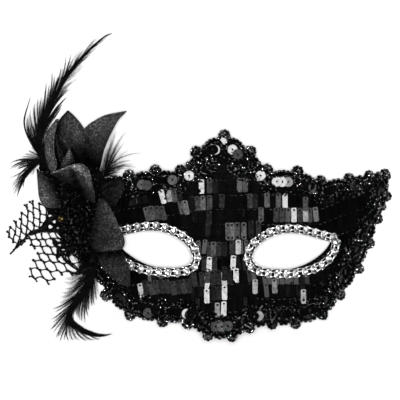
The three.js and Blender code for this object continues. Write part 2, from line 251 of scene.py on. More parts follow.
def eye_outline(side, growth, sagging=0.0):
    """The eye opening's edge, moved out by growth, with a share of the band's sag: a closed outline."""
    inner, top, outer, bottom = (EYE[key] for key in ("inner", "top", "outer", "bottom"))
    left, right = inner["x"] - growth, outer["x"] + growth + sagging * BAND_SAG["tip"]
    high, low = top["y"] + growth, bottom["y"] - growth
    tip = outer["y"] + outer["grows_up"] * growth + sagging * BAND_SAG["rise"]
    corners = [
        [(left, inner["y"]), (left, inner["y"] + inner["up"] + growth),
         (top["x"] - top["inwards"], high), (top["x"], high)],
        [(top["x"], high), (top["x"] + top["outwards"], high),
         (outer["x"] - outer["back_above"], outer["y"] + outer["up"] + growth), (right, tip)],
        [(right, tip),
         (right - outer["back_below"] + sagging * BAND_SAG["out"],
          outer["y"] - outer["down"] - growth - sagging * BAND_SAG["down"]),
         (bottom["x"] + bottom["outwards"] + sagging * BAND_SAG["along"], low), (bottom["x"], low)],
        [(bottom["x"], low), (bottom["x"] - bottom["inwards"], low),
         (left, inner["y"] - inner["down"] - growth), (left, inner["y"])],
    ]
    t = np.arange(EYE_STEPS) / EYE_STEPS
    points = np.vstack([bezier(*(np.array(p, float) for p in four), t) for four in corners])
    if side > 0:
        return points[::-1]
    climb = LEFT_TILT["rate"] * (points[:, 0] - LEFT_TILT["start"])
    return np.stack([-points[:, 0], points[:, 1] + climb], -1)


def evenly(points, count, closed=False):
    """The same line with count points, evenly spaced along it."""
    points = np.asarray(points, float)
    line = np.vstack([points, points[:1]]) if closed else points
    far = np.concatenate([[0], np.cumsum(np.linalg.norm(np.diff(line, axis=0), axis=1))])
    want = np.linspace(0, far[-1], count, endpoint=not closed)
    return np.stack([np.interp(want, far, line[:, k]) for k in range(line.shape[1])], -1)


def inside(points, outline):
    """Whether each plan point lies inside a closed outline."""
    points = np.asarray(points, float)
    x, y = points[..., 0][..., None], points[..., 1][..., None]
    a, b = outline, np.roll(outline, -1, axis=0)
    crosses = (a[:, 1] > y) != (b[:, 1] > y)
    rise = np.where(np.abs(b[:, 1] - a[:, 1]) < 1e-12, 1e-12, b[:, 1] - a[:, 1])
    at = a[:, 0] + (y - a[:, 1]) / rise * (b[:, 0] - a[:, 0])
    return np.sum(crosses & (x < at), axis=-1) % 2 == 1


def frames(normals, along):
    """Axes for stamping: z is the normal, y is along made square to it."""
    z = unit(np.asarray(normals, float))
    along = np.broadcast_to(np.asarray(along, float), z.shape)
    y = unit(along - np.sum(along * z, -1, keepdims=True) * z)
    return np.stack([np.cross(y, z), y, z], -2)


# Meshes
class Piece:
    """Gathers the points and triangles of one piece before its mesh is made."""

    def __init__(self):
        self.points = []
        self.triangles = []
        self.tones = []
        self.count = 0

    def add(self, points, triangles, tone=1.0):
        points = np.asarray(points, float).reshape(-1, 3)
        self.points.append(points)
        self.triangles.append(np.asarray(triangles, int).reshape(-1, 3) + self.count)
        self.tones.append(np.broadcast_to(np.asarray(tone, float).reshape(-1), len(points)))
        self.count += len(points)

    def stamp(self, template, centres, axes, sizes=1.0, tone=1.0):
        """Adds the template once at each centre, turned to its axes.

        Sizes are one for all, one for each or three for each; tone is one value, or one for every point."""
        shape, triangles = template
        centres = np.asarray(centres, float).reshape(-1, 3)
        many = len(centres)
        sizes = np.asarray(sizes, float)
        sizes = sizes.reshape(-1, 1, 1) if sizes.ndim < 2 else sizes[:, None]
        points = centres[:, None] + np.einsum("nkj,nji->nki", shape[None] * sizes, axes)
        steps = (np.arange(many) * len(shape))[:, None, None]
        self.add(points, triangles[None] + steps, tone)

    def make(self, name, material, slot, nodes=(), smooth=True):
        """Makes the object, in metres in the part's frame, riding on the part's one body."""
        points = np.vstack(self.points) * MM + ORIGIN
        triangles = np.vstack(self.triangles)
        mesh = bpy.data.meshes.new(name)
        mesh.from_pydata(points.tolist(), [], triangles.tolist())
        tone = mesh.attributes.new("tone", "FLOAT", "POINT")
        tone.data.foreach_set("value", np.concatenate(self.tones))
        if smooth:
            mesh.shade_smooth()
        mesh.materials.append(material)
        obj = bpy.data.objects.new(name, mesh)
        bpy.context.scene.collection.objects.link(obj)
        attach(obj, "root")
        if nodes:
            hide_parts(*nodes)
        print(f"piece {name}: {len(triangles)} triangles")
        return obj


def sharpen(obj, degrees):
    """Keeps edges crisp where two faces meet at more than the given angle."""
    obj.data.set_sharp_from_angle(angle=math.radians(degrees))


def quads(rows, columns, close_rows=False, close_columns=False):
    """Triangles of a grid of points, numbered row by row."""
    i, j = np.meshgrid(
        np.arange(rows if close_rows else rows - 1),
        np.arange(columns if close_columns else columns - 1), indexing="ij",
    )
    up, right = (i + 1) % rows, (j + 1) % columns
    a, b, c, d = i * columns + j, i * columns + right, up * columns + right, up * columns + j
    return np.stack([a, b, c, a, c, d], -1).reshape(-1, 3)


def fan(first, sides):
    """Triangles that fill a ring of points, in the ring's own sense."""
    k = np.arange(1, sides - 1)
    return np.stack([first + 0 * k, first + k, first + k + 1], -1)


def lathe(profile, sides):
    """Rings of points round z, by radius and height, and by what share of a side each is turned."""
    rings = []
    for radius, z, *shift in profile:
        turn = circle(sides, *shift)
        rings.append(np.stack([radius * np.cos(turn), radius * np.sin(turn), np.full(sides, z)], -1))
    return np.vstack(rings)


def bored(profile, sides):
    """A template turned round z, whose profile closes round a hole in its middle."""
    return lathe(profile, sides), quads(len(profile), sides, close_rows=True, close_columns=True)[:, ::-1]


def ball(segments, rings):
    """A ball of radius 1, its poles closed by fans."""
    fall = math.pi * np.arange(1, rings) / rings
    ring = lathe(zip(np.sin(fall), np.cos(fall)), segments)
    body = quads(rings - 1, segments, close_columns=True)[:, ::-1]
    k = np.arange(segments)
    after = (k + 1) % segments
    top, last = len(ring), (rings - 2) * segments
    fans = [np.stack([0 * k + top, k, after], -1), np.stack([0 * k + top + 1, last + after, last + k], -1)]
    return np.vstack([ring, [(0, 0, 1), (0, 0, -1)]]), np.vstack([body, *fans])


def tubes(paths, radii, sides, flat=1.0, closed=False):
    """Round threads along many paths of the same number of points. Flat thins them along z."""
    paths = np.asarray(paths, float)
    if paths.ndim == 2:
        paths = paths[None]
    many, steps, _ = paths.shape
    if closed:
        along = np.roll(paths, -1, axis=1) - np.roll(paths, 1, axis=1)
    else:
        along = np.gradient(paths, axis=1)
    along = unit(along + 1e-12)
    side = unit(np.cross(along, (0.0, 0.0, 1.0)) + 1e-12)
    over = np.cross(side, along)
    turn = circle(sides, 0.5)[:, None]
    radii = np.broadcast_to(np.asarray(radii, float), (many, steps))[..., None, None]
    ring = paths[:, :, None] + radii * (
        np.cos(turn) * side[:, :, None] + flat * np.sin(turn) * over[:, :, None]
    )
    faces = quads(steps, sides, close_rows=closed, close_columns=True)[:, ::-1]
    if not closed:
        faces = np.vstack([faces, fan(0, sides), fan((steps - 1) * sides, sides)[:, ::-1]])
    offsets = (np.arange(many) * steps * sides)[:, None, None]
    return ring.reshape(-1, 3), (faces[None] + offsets).reshape(-1, 3)


def boundary(triangles):
    """The directed edges that only one triangle has."""
    edges = np.vstack([triangles[:, [0, 1]], triangles[:, [1, 2]], triangles[:, [2, 0]]])
    size = triangles.max() + 1
    forward = edges[:, 0] * size + edges[:, 1]
    backward = edges[:, 1] * size + edges[:, 0]
    return edges[~np.isin(forward, backward)]


def thicken(piece, top, bottom, triangles, tone=1.0):
    """A closed sheet between two sets of points that share one layout of triangles."""
    count = len(top)
    a, b = boundary(triangles).T
    walls = np.vstack([np.stack([b, a, a + count], -1), np.stack([b, a + count, b + count], -1)])
    faces = np.vstack([triangles, triangles[:, ::-1] + count, walls])
    tone = np.broadcast_to(np.asarray(tone, float).reshape(-1), count)
    piece.add(np.vstack([top, bottom]), faces, np.tile(tone, 2))


def filled(outline, holes, spacing=None):
    """Plan points and triangles that fill an outline round its holes."""
    loops = [np.asarray(outline), *holes]
    points = np.vstack(loops)
    edges = []
    start = 0
    for loop in loops:
        k = np.arange(len(loop))
        edges += np.stack([start + k, start + (k + 1) % len(loop)], -1).tolist()
        start += len(loop)

    def solid(places):
        return inside(places, loops[0]) & ~np.any([inside(places, hole) for hole in holes], axis=0)

    if spacing:
        lo, hi = loops[0].min(0), loops[0].max(0)
        x, y = np.meshgrid(np.arange(lo[0], hi[0], spacing), np.arange(lo[1], hi[1], spacing))
        x = x + (np.arange(len(x)) % 2)[:, None] * spacing / 2
        grid = np.stack([x, y], -1).reshape(-1, 2)
        grid = grid[solid(grid)]
        near = np.min(np.linalg.norm(grid[:, None] - points[None, ::2], axis=2), axis=1)
        points = np.vstack([points, grid[near > 0.5 * spacing]])
    result = delaunay_2d_cdt([Vector(p) for p in points.tolist()], edges, [], 1, 1e-6)
    plan = np.array([tuple(v) for v in result[0]])
    triangles = np.array(result[2])
    triangles = triangles[solid(plan[triangles].mean(axis=1))]
    a, b, c = (plan[triangles[:, k]] for k in range(3))
    turn = (b[:, 0] - a[:, 0]) * (c[:, 1] - a[:, 1]) - (b[:, 1] - a[:, 1]) * (c[:, 0] - a[:, 0])
    triangles[turn < 0] = triangles[turn < 0][:, ::-1]
    return plan, triangles


# Materials
class Look:
    """A material under construction round its one shader. In keywords, _ stands for a socket's space."""

    def __init__(self, name, **values):
        self.material = bpy.data.materials.new(name)
        self.material.use_nodes = True
        self.shader = self.material.node_tree.nodes["Principled BSDF"]
        for key, value in values.items():
            self.shader.inputs[key.replace("_", " ")].default_value = value

    def node(self, kind, **values):
        node = self.material.node_tree.nodes.new("ShaderNode" + kind)
        for key, value in values.items():
            if hasattr(node, key):
                setattr(node, key, value)
            else:
                node.inputs[key.replace("_", " ")].default_value = value
        return node

    def link(self, source, target):
        self.material.node_tree.links.new(source, target)

    def placed(self, kind, **values):
        """A texture node in the object's own space."""
        place = self.node("TexCoord")
        node = self.node(kind, **values)
        self.link(place.outputs["Object"], node.inputs["Vector"])
        return node

    def noise(self, scale, detail=3.0, roughness=0.5):
        """Noise through the object, scale in features a metre."""
        return self.placed("TexNoise", Scale=scale, Detail=detail, Roughness=roughness).outputs["Fac"]

    def tone(self):
        """The tone that the points of a piece carry: on the petals and stones it is painted light and
        shade.
        """
        return self.node("Attribute", attribute_name="tone").outputs["Fac"]

    def ramp(self, source, low, high, start=0.0, end=1.0):
        """Colours, or greys given as numbers, from low to high as the source goes from start to end."""
        node = self.node("ValToRGB")
        for element, place, colour in zip(node.color_ramp.elements, (start, end), (low, high)):
            colour = (colour,) * 3 if np.ndim(colour) == 0 else colour
            element.position = place
            element.color = (*colour, 1)
        self.link(source, node.inputs["Fac"])
        return node.outputs["Color"]

    def feed(self, socket, source):
        self.link(source, self.shader.inputs[socket])

    def vary(self, socket, scale, low, high, start=0.3, end=0.7, detail=3.0):
        """Lets a socket of the shader wander from low to high through the object."""
        self.feed(socket, self.ramp(self.noise(scale, detail), low, high, start, end))

    def times(self, one, other):
        """The product of two colours."""
        node = self.node("Mix", data_type="RGBA", blend_type="MULTIPLY")
        node.inputs[0].default_value = 1.0
        self.link(one, node.inputs[6])
        self.link(other, node.inputs[7])
        return node.outputs[2]

    def weave(self, pitch):
        """Crossed threads with the given pitch, in metres, as a height."""
        most = self.node("Math", operation="MAXIMUM")
        for number, direction in enumerate(("X", "Y")):
            wave = self.placed("TexWave", bands_direction=direction, Scale=1 / pitch / 20, Distortion=1.5,
                               Detail=2.0, Detail_Scale=3.0)
            self.link(wave.outputs["Fac"], most.inputs[number])
        return most.outputs[0]

    def bump(self, height, strength, distance):
        node = self.node("Bump", Strength=strength, Distance=distance)
        self.link(height, node.inputs["Height"])
        self.feed("Normal", node.outputs["Normal"])


def plastic_material():
    """Thin black moulded plastic, satin, with a fine grain."""
    look = Look("base_plastic", Roughness=0.45, Specular_IOR_Level=0.15)
    look.vary("Base Color", scale=90, low=0.003, high=0.006)
    look.bump(look.noise(scale=2500, detail=4), strength=0.35, distance=0.0002)
    return look.material


def cloth_material():
    """Black backing cloth under the sequins."""
    look = Look("backing_cloth", Roughness=0.85, Specular_IOR_Level=0.02)
    look.vary("Base Color", scale=400, low=0.0004, high=0.0014)
    look.bump(look.weave(pitch=0.0006), strength=0.5, distance=0.0002)
    return look.material


def sequin_material():
    """Glossy black film with faint scuffs."""
    look = Look("sequin_film", Specular_IOR_Level=0.19)
    look.vary("Base Color", scale=160, low=0.0004, high=0.0012, start=0.35, end=0.65, detail=2)
    look.vary("Roughness", scale=700, low=0.13, high=0.19)
    look.bump(look.noise(scale=300, detail=2), strength=0.05, distance=0.0002)
    return look.material


def bead_material():
    """Black glass that shines in places."""
    look = Look("bead_glass", IOR=2.0)
    look.vary("Base Color", scale=500, low=0.0004, high=0.0015, start=0.35, end=0.65, detail=2)
    look.vary("Roughness", scale=450, low=0.06, high=0.12, start=0.35, end=0.65, detail=2)
    look.vary("Specular IOR Level", scale=900, low=0.0, high=1.0, start=0.51, end=0.6, detail=2)
    look.bump(look.noise(scale=1500, detail=2), strength=0.15, distance=0.0001)
    return look.material


def gimp_material():
    """The braid's black tape."""
    look = Look("braid_gimp", Roughness=0.75, Specular_IOR_Level=0.01)
    look.vary("Base Color", scale=900, low=0.0004, high=0.0014)
    look.bump(look.weave(pitch=0.0005), strength=0.7, distance=0.0002)
    return look.material


def stone_material():
    """Clear cut stones with a bright foil behind them; their tone is painted light and shade: facets
    lighter on the left as if lit from there, darker on the right, and randomly darker in places as painted
    dark reflections.
    """
    look = Look("stone_glass", Metallic=0.93, Roughness=0.2)
    look.feed("Base Color", look.ramp(look.tone(), 0.0, 1.0))
    return look.material


def silver_material():
    """Bright plated metal of the stones' cups and wires."""
    look = Look("bright_silver", Metallic=0.92, Roughness=0.28)
    look.vary("Base Color", scale=1200, low=0.55, high=0.95, end=0.65)
    look.bump(look.noise(scale=1500), strength=0.3, distance=0.0002)
    return look.material


def petal_material():
    """Charcoal satin with a fine sparkling weave whose bright flecks are painted glints; its tone is
    painted light and shade, darker towards the folds and bases and lighter where light falls, and its shine
    follows that tone.
    """
    look = Look("petal_satin", Roughness=0.5)
    cells = look.placed("TexVoronoi", Scale=1900.0)
    grain = look.node("SeparateColor")
    look.link(cells.outputs["Color"], grain.inputs["Color"])
    mottle = look.noise(scale=800, detail=4, roughness=0.6)
    ground = look.ramp(mottle, low=0.01, high=0.03, start=0.32, end=0.68)
    # Bright flecks in the colour: painted glints of the satin's sparkle.
    flecks = look.ramp(grain.outputs["Red"], low=0.55, high=2.9, start=0.6)
    tone = look.tone()
    look.feed("Base Color", look.times(look.times(ground, flecks), tone))
    # The shine grows with the painted light and shade, so places painted dark stay dull.
    look.feed("Specular IOR Level", look.ramp(tone, low=0.0, high=0.045))
    look.bump(look.weave(pitch=0.0008), strength=0.5, distance=0.00025)
    return look.material


def feather_material():
    """Dyed black barbs with hardly any shine."""
    look = Look("dyed_feather", Roughness=0.6, Specular_IOR_Level=0.03)
    look.vary("Base Color", scale=300, low=0.0006, high=0.0025)
    return look.material


def thread_material():
    """Black netting thread with a slight shine."""
    look = Look("net_thread", Roughness=0.45, Specular_IOR_Level=0.08)
    look.vary("Base Color", scale=1200, low=0.0005, high=0.002)
    look.bump(look.noise(scale=3000, detail=2), strength=0.4, distance=0.0001)
    return look.material


def stitch_material():
    """The dull thread that holds the sequins: black, with random lighter patches painted in as its glints.
    """
    look = Look("stitch_thread", Roughness=0.6, Specular_IOR_Level=0.1)
    look.vary("Base Color", scale=90, low=0.002, high=0.07, start=0.42, end=0.62)
    return look.material


def tinsel_material():
    """Black crinkled thread that glints."""
    look = Look("tinsel_thread", Roughness=0.4)
    look.vary("Base Color", scale=900, low=0.0002, high=0.003, start=0.5)
    look.vary("Specular IOR Level", scale=550, low=0.0, high=0.9, start=0.58, detail=2)
    return look.material


def gold_material():
    """Gilt with dark places."""
    look = Look("gilt", Metallic=1.0, Roughness=0.3)
    look.vary("Base Color", scale=1000, low=(0.01, 0.006, 0.002), high=(0.2, 0.15, 0.06), start=0.45,
              end=0.65, detail=2)
    return look.material


def floor_material():
    """A pale matt floor."""
    look = Look("pale_floor", Roughness=0.9)
    look.vary("Base Color", scale=6, low=0.485, high=0.49, detail=2)
    return look.material


# The moulded base
def rim_outline(inset):
    """The rim's plan outline at a constant inset, counter-clockwise."""
    station = np.arange(STATIONS * RIM_STEPS) / RIM_STEPS
    return rim_point(station, inset)[::-1]


def face_layer(piece, between, inset, eye_growth, spacing):
    """A layer of the face between two distances out, with both eye openings."""
    holes = [eye_outline(side, eye_growth) for side in (1, -1)]
    plan, triangles = filled(rim_outline(inset), holes, spacing)
    bottom, top = (above_mask(*plan.T, out) for out in between)
    thicken(piece, top, bottom, triangles)


def rounded_plate(width, length, thick, corner, holes=()):
    """A flat plate with round corners and holes, as a template: width along x, length along y."""
    outline = []
    for k, (sx, sy) in enumerate(((1, 1), (-1, 1), (-1, -1), (1, -1))):
        for turn in math.pi / 2 * (k + np.linspace(0, 1, 4)):
            outline.append((
                sx * (width / 2 - corner) + corner * math.cos(turn),
                sy * (length / 2 - corner) + corner * math.sin(turn),
            ))
    plan, triangles = filled(outline, holes)
    top = np.column_stack([plan, np.full(len(plan), thick / 2)])
    plate = Piece()
    thicken(plate, top, top * (1, 1, -1), triangles)
    return plate.points[0], plate.triangles[0]


TIE_PAD = dict(x=71.0, y=22.0, side=12.0, thick=0.8, sunk=0.6, corner=1.0)
FACE_SPACING = 2.2


def mask_base(material):
    """The moulded half face, its edge following the braid, with a flat pad inside each temple."""
    piece = Piece()
    face_layer(piece, BASE, RIM_INSET, 0.0, FACE_SPACING)
    side, thick, sunk = TIE_PAD["side"], TIE_PAD["thick"], TIE_PAD["sunk"]
    plate = rounded_plate(side, side, thick + sunk, TIE_PAD["corner"])
    for x in (TIE_PAD["x"], -TIE_PAD["x"]):
        point, normal = on_mask(x, TIE_PAD["y"], 0.0)
        piece.stamp(plate, point + normal * (sunk - thick) / 2, frames(normal, (0, 1, 0))[None])
    sharpen(piece.make("moulded_base", material, "base_plastic", ["mask_base"]), 50)


# Sequins
CLOTH_INSET = 4.9  # the cloth reaches this near the rosettes, over the moulded base's edge
CLOTH_GROWTH = 0.3  # and ends this far outside the eye openings
CLOTH_SPACING = 2.4
SEQUIN = dict(width=2.9, length=8.0, thick=0.14, corner=0.7)
HOLE = dict(inwards=1.15, radius=0.62, sides=8)
SEQUIN_OUT = 2.5  # the distance out at which their places are looked up
SEQUIN_LIES = 2.3  # and at which they lie
ROOM = dict(rim=6.8, eye=0.9, steps=29, least=2.2)  # where sequins are cut off, and their least length
LONG_SEQUINS = ((228, 231.5), (232, 231.5), (237.5, 231), (243.8, 231), (251, 229), (258.4, 229))
LONG = 1.2  # how much longer they are
TWO_HOLES = ((233.2, 262.6), (261, 214.5))  # others whose lower hole shows too
TUCKED = ((224.2, 279), (207.3, 282.8), (141, 290.4))
SEQUIN_PITCH = 5.3  # pixels from one sequin to the next along a row
ROW_TOPS = (136, 150, 163.5, 178, 193, 207.5, 222.5, 240, 256, 270, 282.5, 297, 310, 321)
ROW_HALF = 7.2  # pixels from a row's top to its middle
ROW_MIDDLE = 255.0
ROW_SPAN = (108, 398)
LEFT_DROP = dict(start=210.0, end=190.0, rate=0.2)
RIGHT_RISE = dict(start=308.0, end=332.0, rate=0.37)

# Pixels of the picture where a sequin shines, by how far it is turned from the light, in degrees
SHINING = (
    (
        2.85,
        (
            (201.5, 186.5), (162.4, 196.6), (285, 200.7), (294, 215), (209.2, 264), (233.2, 262.6),
            (236, 275.5), (207.3, 282.8), (206.8, 296), (224.5, 292.6), (223.8, 308.8),
        ),
    ),
    (3.1, ((238.2, 247), (141, 290.4), (224.2, 279))),
    (3.4, ((255, 286.5), (305.5, 214.5), (303.4, 296.4))), (3.7, ((217.6, 310), (168.8, 194.6))),
    (4.1, ((274.5, 286), (315.7, 214.3))),
    (
        4.8,
        (
            (197.6, 203.5), (203, 203), (181.3, 207), (186, 207.5), (245.3, 185), (261, 214.5),
            (228, 231.5), (232, 231.5), (278.4, 200.5), (209.5, 202.5),
        ),
    ),
    (
        5.3,
        (
            (239.6, 185), (267, 200.3), (209.6, 249), (213.4, 249), (276, 215), (305.4, 204), (300, 215),
            (282, 215), (288, 215), (207.6, 275.8), (237.5, 231), (243.8, 231), (309.5, 215), (174, 195),
            (147, 214), (152, 213), (157.5, 213), (163, 213),
        ),
    ),
    (
        6.6,
        (
            (209.5, 186), (222, 201), (209, 218), (250, 201), (255, 201), (145.4, 287.5), (151, 288),
            (156.5, 287), (162, 286.5), (167.6, 286.5), (173.4, 288), (178.6, 287), (183.6, 286.5),
            (188.6, 286), (232, 247.5), (213.2, 278),
        ),
    ),
    (
        7.6,
        (
            (251, 229), (258.4, 229), (194.5, 279.5), (202, 279), (218.6, 277.5), (224.4, 273.4),
            (229.2, 277), (218.8, 249), (224.4, 249), (214.6, 263.5), (204.2, 263.5), (214, 293),
            (219, 293), (302.5, 282), (179, 194.4), (215, 186),
        ),
    ),
)
DULL = dict(least=9.6, more=6.4)  # the others are turned at least this far, and up to this much more
# Ovals of the picture where nothing shines on the others: pixels of the middle, and half sizes
SHADED = ((240, 289, 12.5, 10.5), (243, 272, 7, 8), (178, 300, 14, 6))
SHADED_AT = 13.5
# From which angle on a placed sequin lies higher, and by how much; shaded ones don't
LIFTS = ((SHADED_AT, 0.0), (6, 1.0), (4, 0.7), (0, 0.3))
MOST_LEAN = 1.3  # millimetres that a leaning sequin is lifted by at most
TUCK = 1.1
# How far sequins stray: pixels along and across their row, slope, degrees of tilt, and lift
SEQUIN_STRAY = dict(along=0.55, across=0.35, slope=0.03, tilt=(3.2, 1.6), lift=0.25)
NOD = 0.03  # how far all of them lean up the mask
VARIED = dict(over=4, by=(0.88, 1.18))  # angles over this many degrees vary by a factor
SHADED_MORE = 1.5
STITCH = dict(across=1.7, radius=0.12, high=0.2, arch=1.2, sway=0.1)


def turned_from_light(centre, normal, angle, rng):
    """The normals turned to the given angles from the light, or, where that is 0, past where they shine."""
    above = np.array((CENTRE[0], CENTRE[1], 0.0))
    half = unit(sum(unit(above + (0, 0, height) - centre) for height in (CAMERA_HEIGHT, KEY_HEIGHT)))
    facing = np.sum(normal * half, -1, keepdims=True)
    away = unit(normal - facing * half + TINY)
    turned = np.degrees(np.arccos(np.clip(facing[:, 0], -1, 1)))
    dull = np.maximum(turned, DULL["least"] + DULL["more"] * rng.random(len(centre)) ** 0.6)
    wanted = np.radians(np.where(angle > 0, angle, dull))[:, None]
    return np.cos(wanted) * half + np.sin(wanted) * away


def row_rise(px):
    """How steeply a row climbs to the right, in the picture."""
    return sum(ease(part["start"], part["end"], px) * part["rate"] for part in (LEFT_DROP, RIGHT_RISE))


def row_drop(px):
    """How far a row has dropped at px below its level in the middle, in pixels."""
    reach = np.atleast_1d(px) - ROW_MIDDLE
    along = ROW_MIDDLE + reach * np.linspace(0, 1, 24)[:, None]
    return -np.mean(row_rise(along), axis=0) * reach


def sequin_places():
    """Every sequin's middle in the picture, and how far it is turned from the light, or 0 if unset."""
    rng = np.random.default_rng(11)
    places = []
    for top in ROW_TOPS:
        px = np.arange(*ROW_SPAN, SEQUIN_PITCH)
        px = px + rng.uniform(0, SEQUIN_PITCH) + rng.normal(0, SEQUIN_STRAY["along"], len(px))
        py = top + ROW_HALF + row_drop(px) + rng.normal(0, SEQUIN_STRAY["across"], len(px))
        places.append(np.stack([px, py, np.zeros(len(px))], -1))
    places = np.vstack(places)
    for angle, spots in SHINING:
        for spot in spots:
            gaps = np.abs(places[:, :2] - spot) * (1, 0.5) + 1e3 * (places[:, 2:] > 0)
            places[np.argmin(gaps.sum(axis=1))] = (*spot, angle)
    return places


def backing_cloth(material):
    """The cloth that the sequins are sewn to."""
    piece = Piece()
    face_layer(piece, CLOTH, CLOTH_INSET, CLOTH_GROWTH, CLOTH_SPACING)
    backing = piece.make("sequin_backing", material, "sequin", ["sequin_cloth"])


def sequin_room(x, y, along):
    """How far each sequin reaches down and up before an eye or the rim, and whether its middle is free."""
    reach = np.linspace(-0.5, 0.5, ROOM["steps"]) * SEQUIN["length"]
    samples = np.stack([x, y], -1)[:, None] + along[:, None, :2] * reach[:, None]
    free = inside(samples, rim_outline(ROOM["rim"]))
    for side in (1, -1):
        free &= ~inside(samples, eye_outline(side, ROOM["eye"]))
    low = np.max(np.where(~free & (reach < 0), reach, reach[0]), axis=1)
    high = np.min(np.where(~free & (reach > 0), reach, reach[-1]), axis=1)
    return low, high, free[:, ROOM["steps"] // 2]


def sequins(film, thread):
    """The rows of sequins, and the stitches that hold them."""
    rng = np.random.default_rng(5)
    px, py, angle = sequin_places().T
    many = len(px)

    def among(spots):
        return np.array([spot in spots for spot in zip(px, py)])

    x, y = seen_on_mask(px, py, SEQUIN_OUT)
    _, surface = on_mask(x, y, SEQUIN_OUT)
    slope = rng.normal(0, SEQUIN_STRAY["slope"], many) - row_rise(px)
    along = unit(np.stack([slope, np.ones(many), np.zeros(many)], -1))
    base = frames(surface, along)
    low, high, free = sequin_room(x, y, base[:, 1])
    keep = free & (high - low > ROOM["least"])
    length = (high - low) * np.where(among(LONG_SEQUINS), LONG, 1.0)
    tilt = rng.normal(0, np.radians(SEQUIN_STRAY["tilt"]), (many, 2)) + (0, NOD)
    normal = unit(surface + base[:, 0] * tilt[:, :1] + base[:, 1] * tilt[:, 1:])
    x, y = (np.stack([x, y], -1) + base[:, 1, :2] * (high + low)[:, None] / 2).T
    angle = angle * np.where(angle > VARIED["over"], rng.uniform(*VARIED["by"], many), 1.0)
    shaded = np.any([np.hypot((px - a) / wide, (py - b) / tall) < 1 for a, b, wide, tall in SHADED], axis=0)
    angle = np.where(shaded & (angle == 0), SHADED_AT + rng.uniform(0, SHADED_MORE, many), angle)
    normal = turned_from_light(above_mask(x, y, SEQUIN_LIES), normal, angle, rng)
    lean = np.abs(np.einsum("nk,nak->na", normal - surface, base))
    lift = lean[:, 0] * SEQUIN["width"] / 2 + lean[:, 1] * length / 2
    lift = np.minimum(lift, MOST_LEAN) + rng.uniform(0, SEQUIN_STRAY["lift"], many)
    shown = [angle >= SHADED_AT, *(angle > least for least, _ in LIFTS[1:])]
    lift = lift + np.select(shown, [more for _, more in LIFTS]) - TUCK * among(TUCKED)
    centre = above_mask(x, y, SEQUIN_LIES + lift)
    axes = frames(normal, along)
    stretch = length / SEQUIN["length"]
    hole_at = SEQUIN["length"] / 2 - HOLE["inwards"]
    holes = [oval(0, y, HOLE["radius"], HOLE["radius"], HOLE["sides"]) for y in (hole_at, -hole_at)]
    both = among(LONG_SEQUINS) | among(TWO_HOLES)
    sizes = np.stack([np.ones(many), stretch, np.ones(many)], -1)
    piece = Piece()
    for shown, of_it in ((holes, keep & both), (holes[:1], keep & ~both)):
        plate = rounded_plate(SEQUIN["width"], SEQUIN["length"], SEQUIN["thick"], SEQUIN["corner"], shown)
        piece.stamp(plate, centre[of_it], axes[of_it], sizes[of_it])
    sharpen(piece.make("sequin_plates", film, "sequin"), 40)
    # The thread comes up through the top hole and runs on to the next sequin of the row.
    piece = Piece()
    top = (hole_at * stretch)[:, None]
    path = [
        centre + axes[:, 1] * (top + STITCH["sway"] * math.sin(9 * step))
        + axes[:, 0] * STITCH["across"] * step
        + axes[:, 2] * (STITCH["high"] - STITCH["arch"] * (step - 0.5) ** 2)
        for step in (0, 0.25, 0.5, 0.75, 1.0)
    ]
    piece.add(*tubes(np.stack(path, 1)[keep], STITCH["radius"], sides=4))
    piece.make("sequin_stitches", thread, "sequin")


# The braid round the rim: sizes in millimetres, insets from the rosettes, and distances out
BEAD = 1.15
SMALL_BEAD = 0.7
BEAD_GAP = 2.05  # radii from one bead of a string to the next
BEAD_STRAY = dict(size=(0.92, 1.08), aside=0.08, out=0.12, turn=0.2)
ROSETTE = dict(beads=9, ring=1.95, bead=0.84, out=4.0)
DOME = dict(beads=4, ring=0.95, bead=0.8, out=5.0, top=1.08, top_out=5.35)
STEM = ((0.04, 2.6), (0.12, 4.2), (0.12, 5.6), (0.06, 7.6))  # shares of a station, and insets
STEM_OUT = 4.2
WREATH = dict(inset=10.0, beads=7, ring=2.35, out=4.1, middle_out=4.4)
# Arcs from one station to the next: where they start, their inset, and how much further in their ends are
OUTER_ARC = dict(start=0.2, inset=0.1, ends=1.6, out=4.0, bead=BEAD)
SECOND_ARC = dict(start=0.2, inset=2.6, ends=0.9, out=4.9, bead=SMALL_BEAD)
INNER_ARC = dict(start=0.16, inset=9.2, ends=-2.6, out=4.2, bead=SMALL_BEAD)
LOOSE = dict(beads=9, share=(0.2, 0.8), inset=(8.0, 12.8), out=4.0)
BROW = dict(beads=6, ring=(1.7, 2.5), out=3.5, seen_out=3.6, loose=4, spread=1.8, loose_out=3.7)
BIG_ROSETTES = (0, 1, 2, 3, 19, 20, 21, 22, 23, 26, 27, 28, 29, 30, 31, 32, 33)
BIG = 1.3
MIDDLING = 1.15
ODD_ROSETTES = ((387.6, 176.6, 0.75), (382.8, 206.6, 0.85))  # pixels and sizes of those between stations
SUNK_ARCS = {22: 2.2}  # arcs that curve further in, by station, and by how many millimetres
OPEN_LOOPS = (0,)  # stations where the tape leaves the floor to show below the rosette
# Pixels that no bead covers, and how many millimetres round them.
OPENINGS = ((223.6, 140.8, 0.95), (222.4, 142.6, 0.6), (190.4, 158, 0.7))
OPENINGS_OUT = 4.0
# Pixels of the loops of beads that fill the braid's wide part on the brow
BROW_LOOPS = (
    (206, 161), (211, 168), (203, 169), (209, 175), (197, 160), (198, 170), (191, 167), (213, 158),
    (235, 160.5), (231, 168), (239, 168), (235, 174.5), (247, 162), (246, 171), (242, 176), (229, 160),
    (253, 167), (192, 176), (197, 179), (254, 176),
)


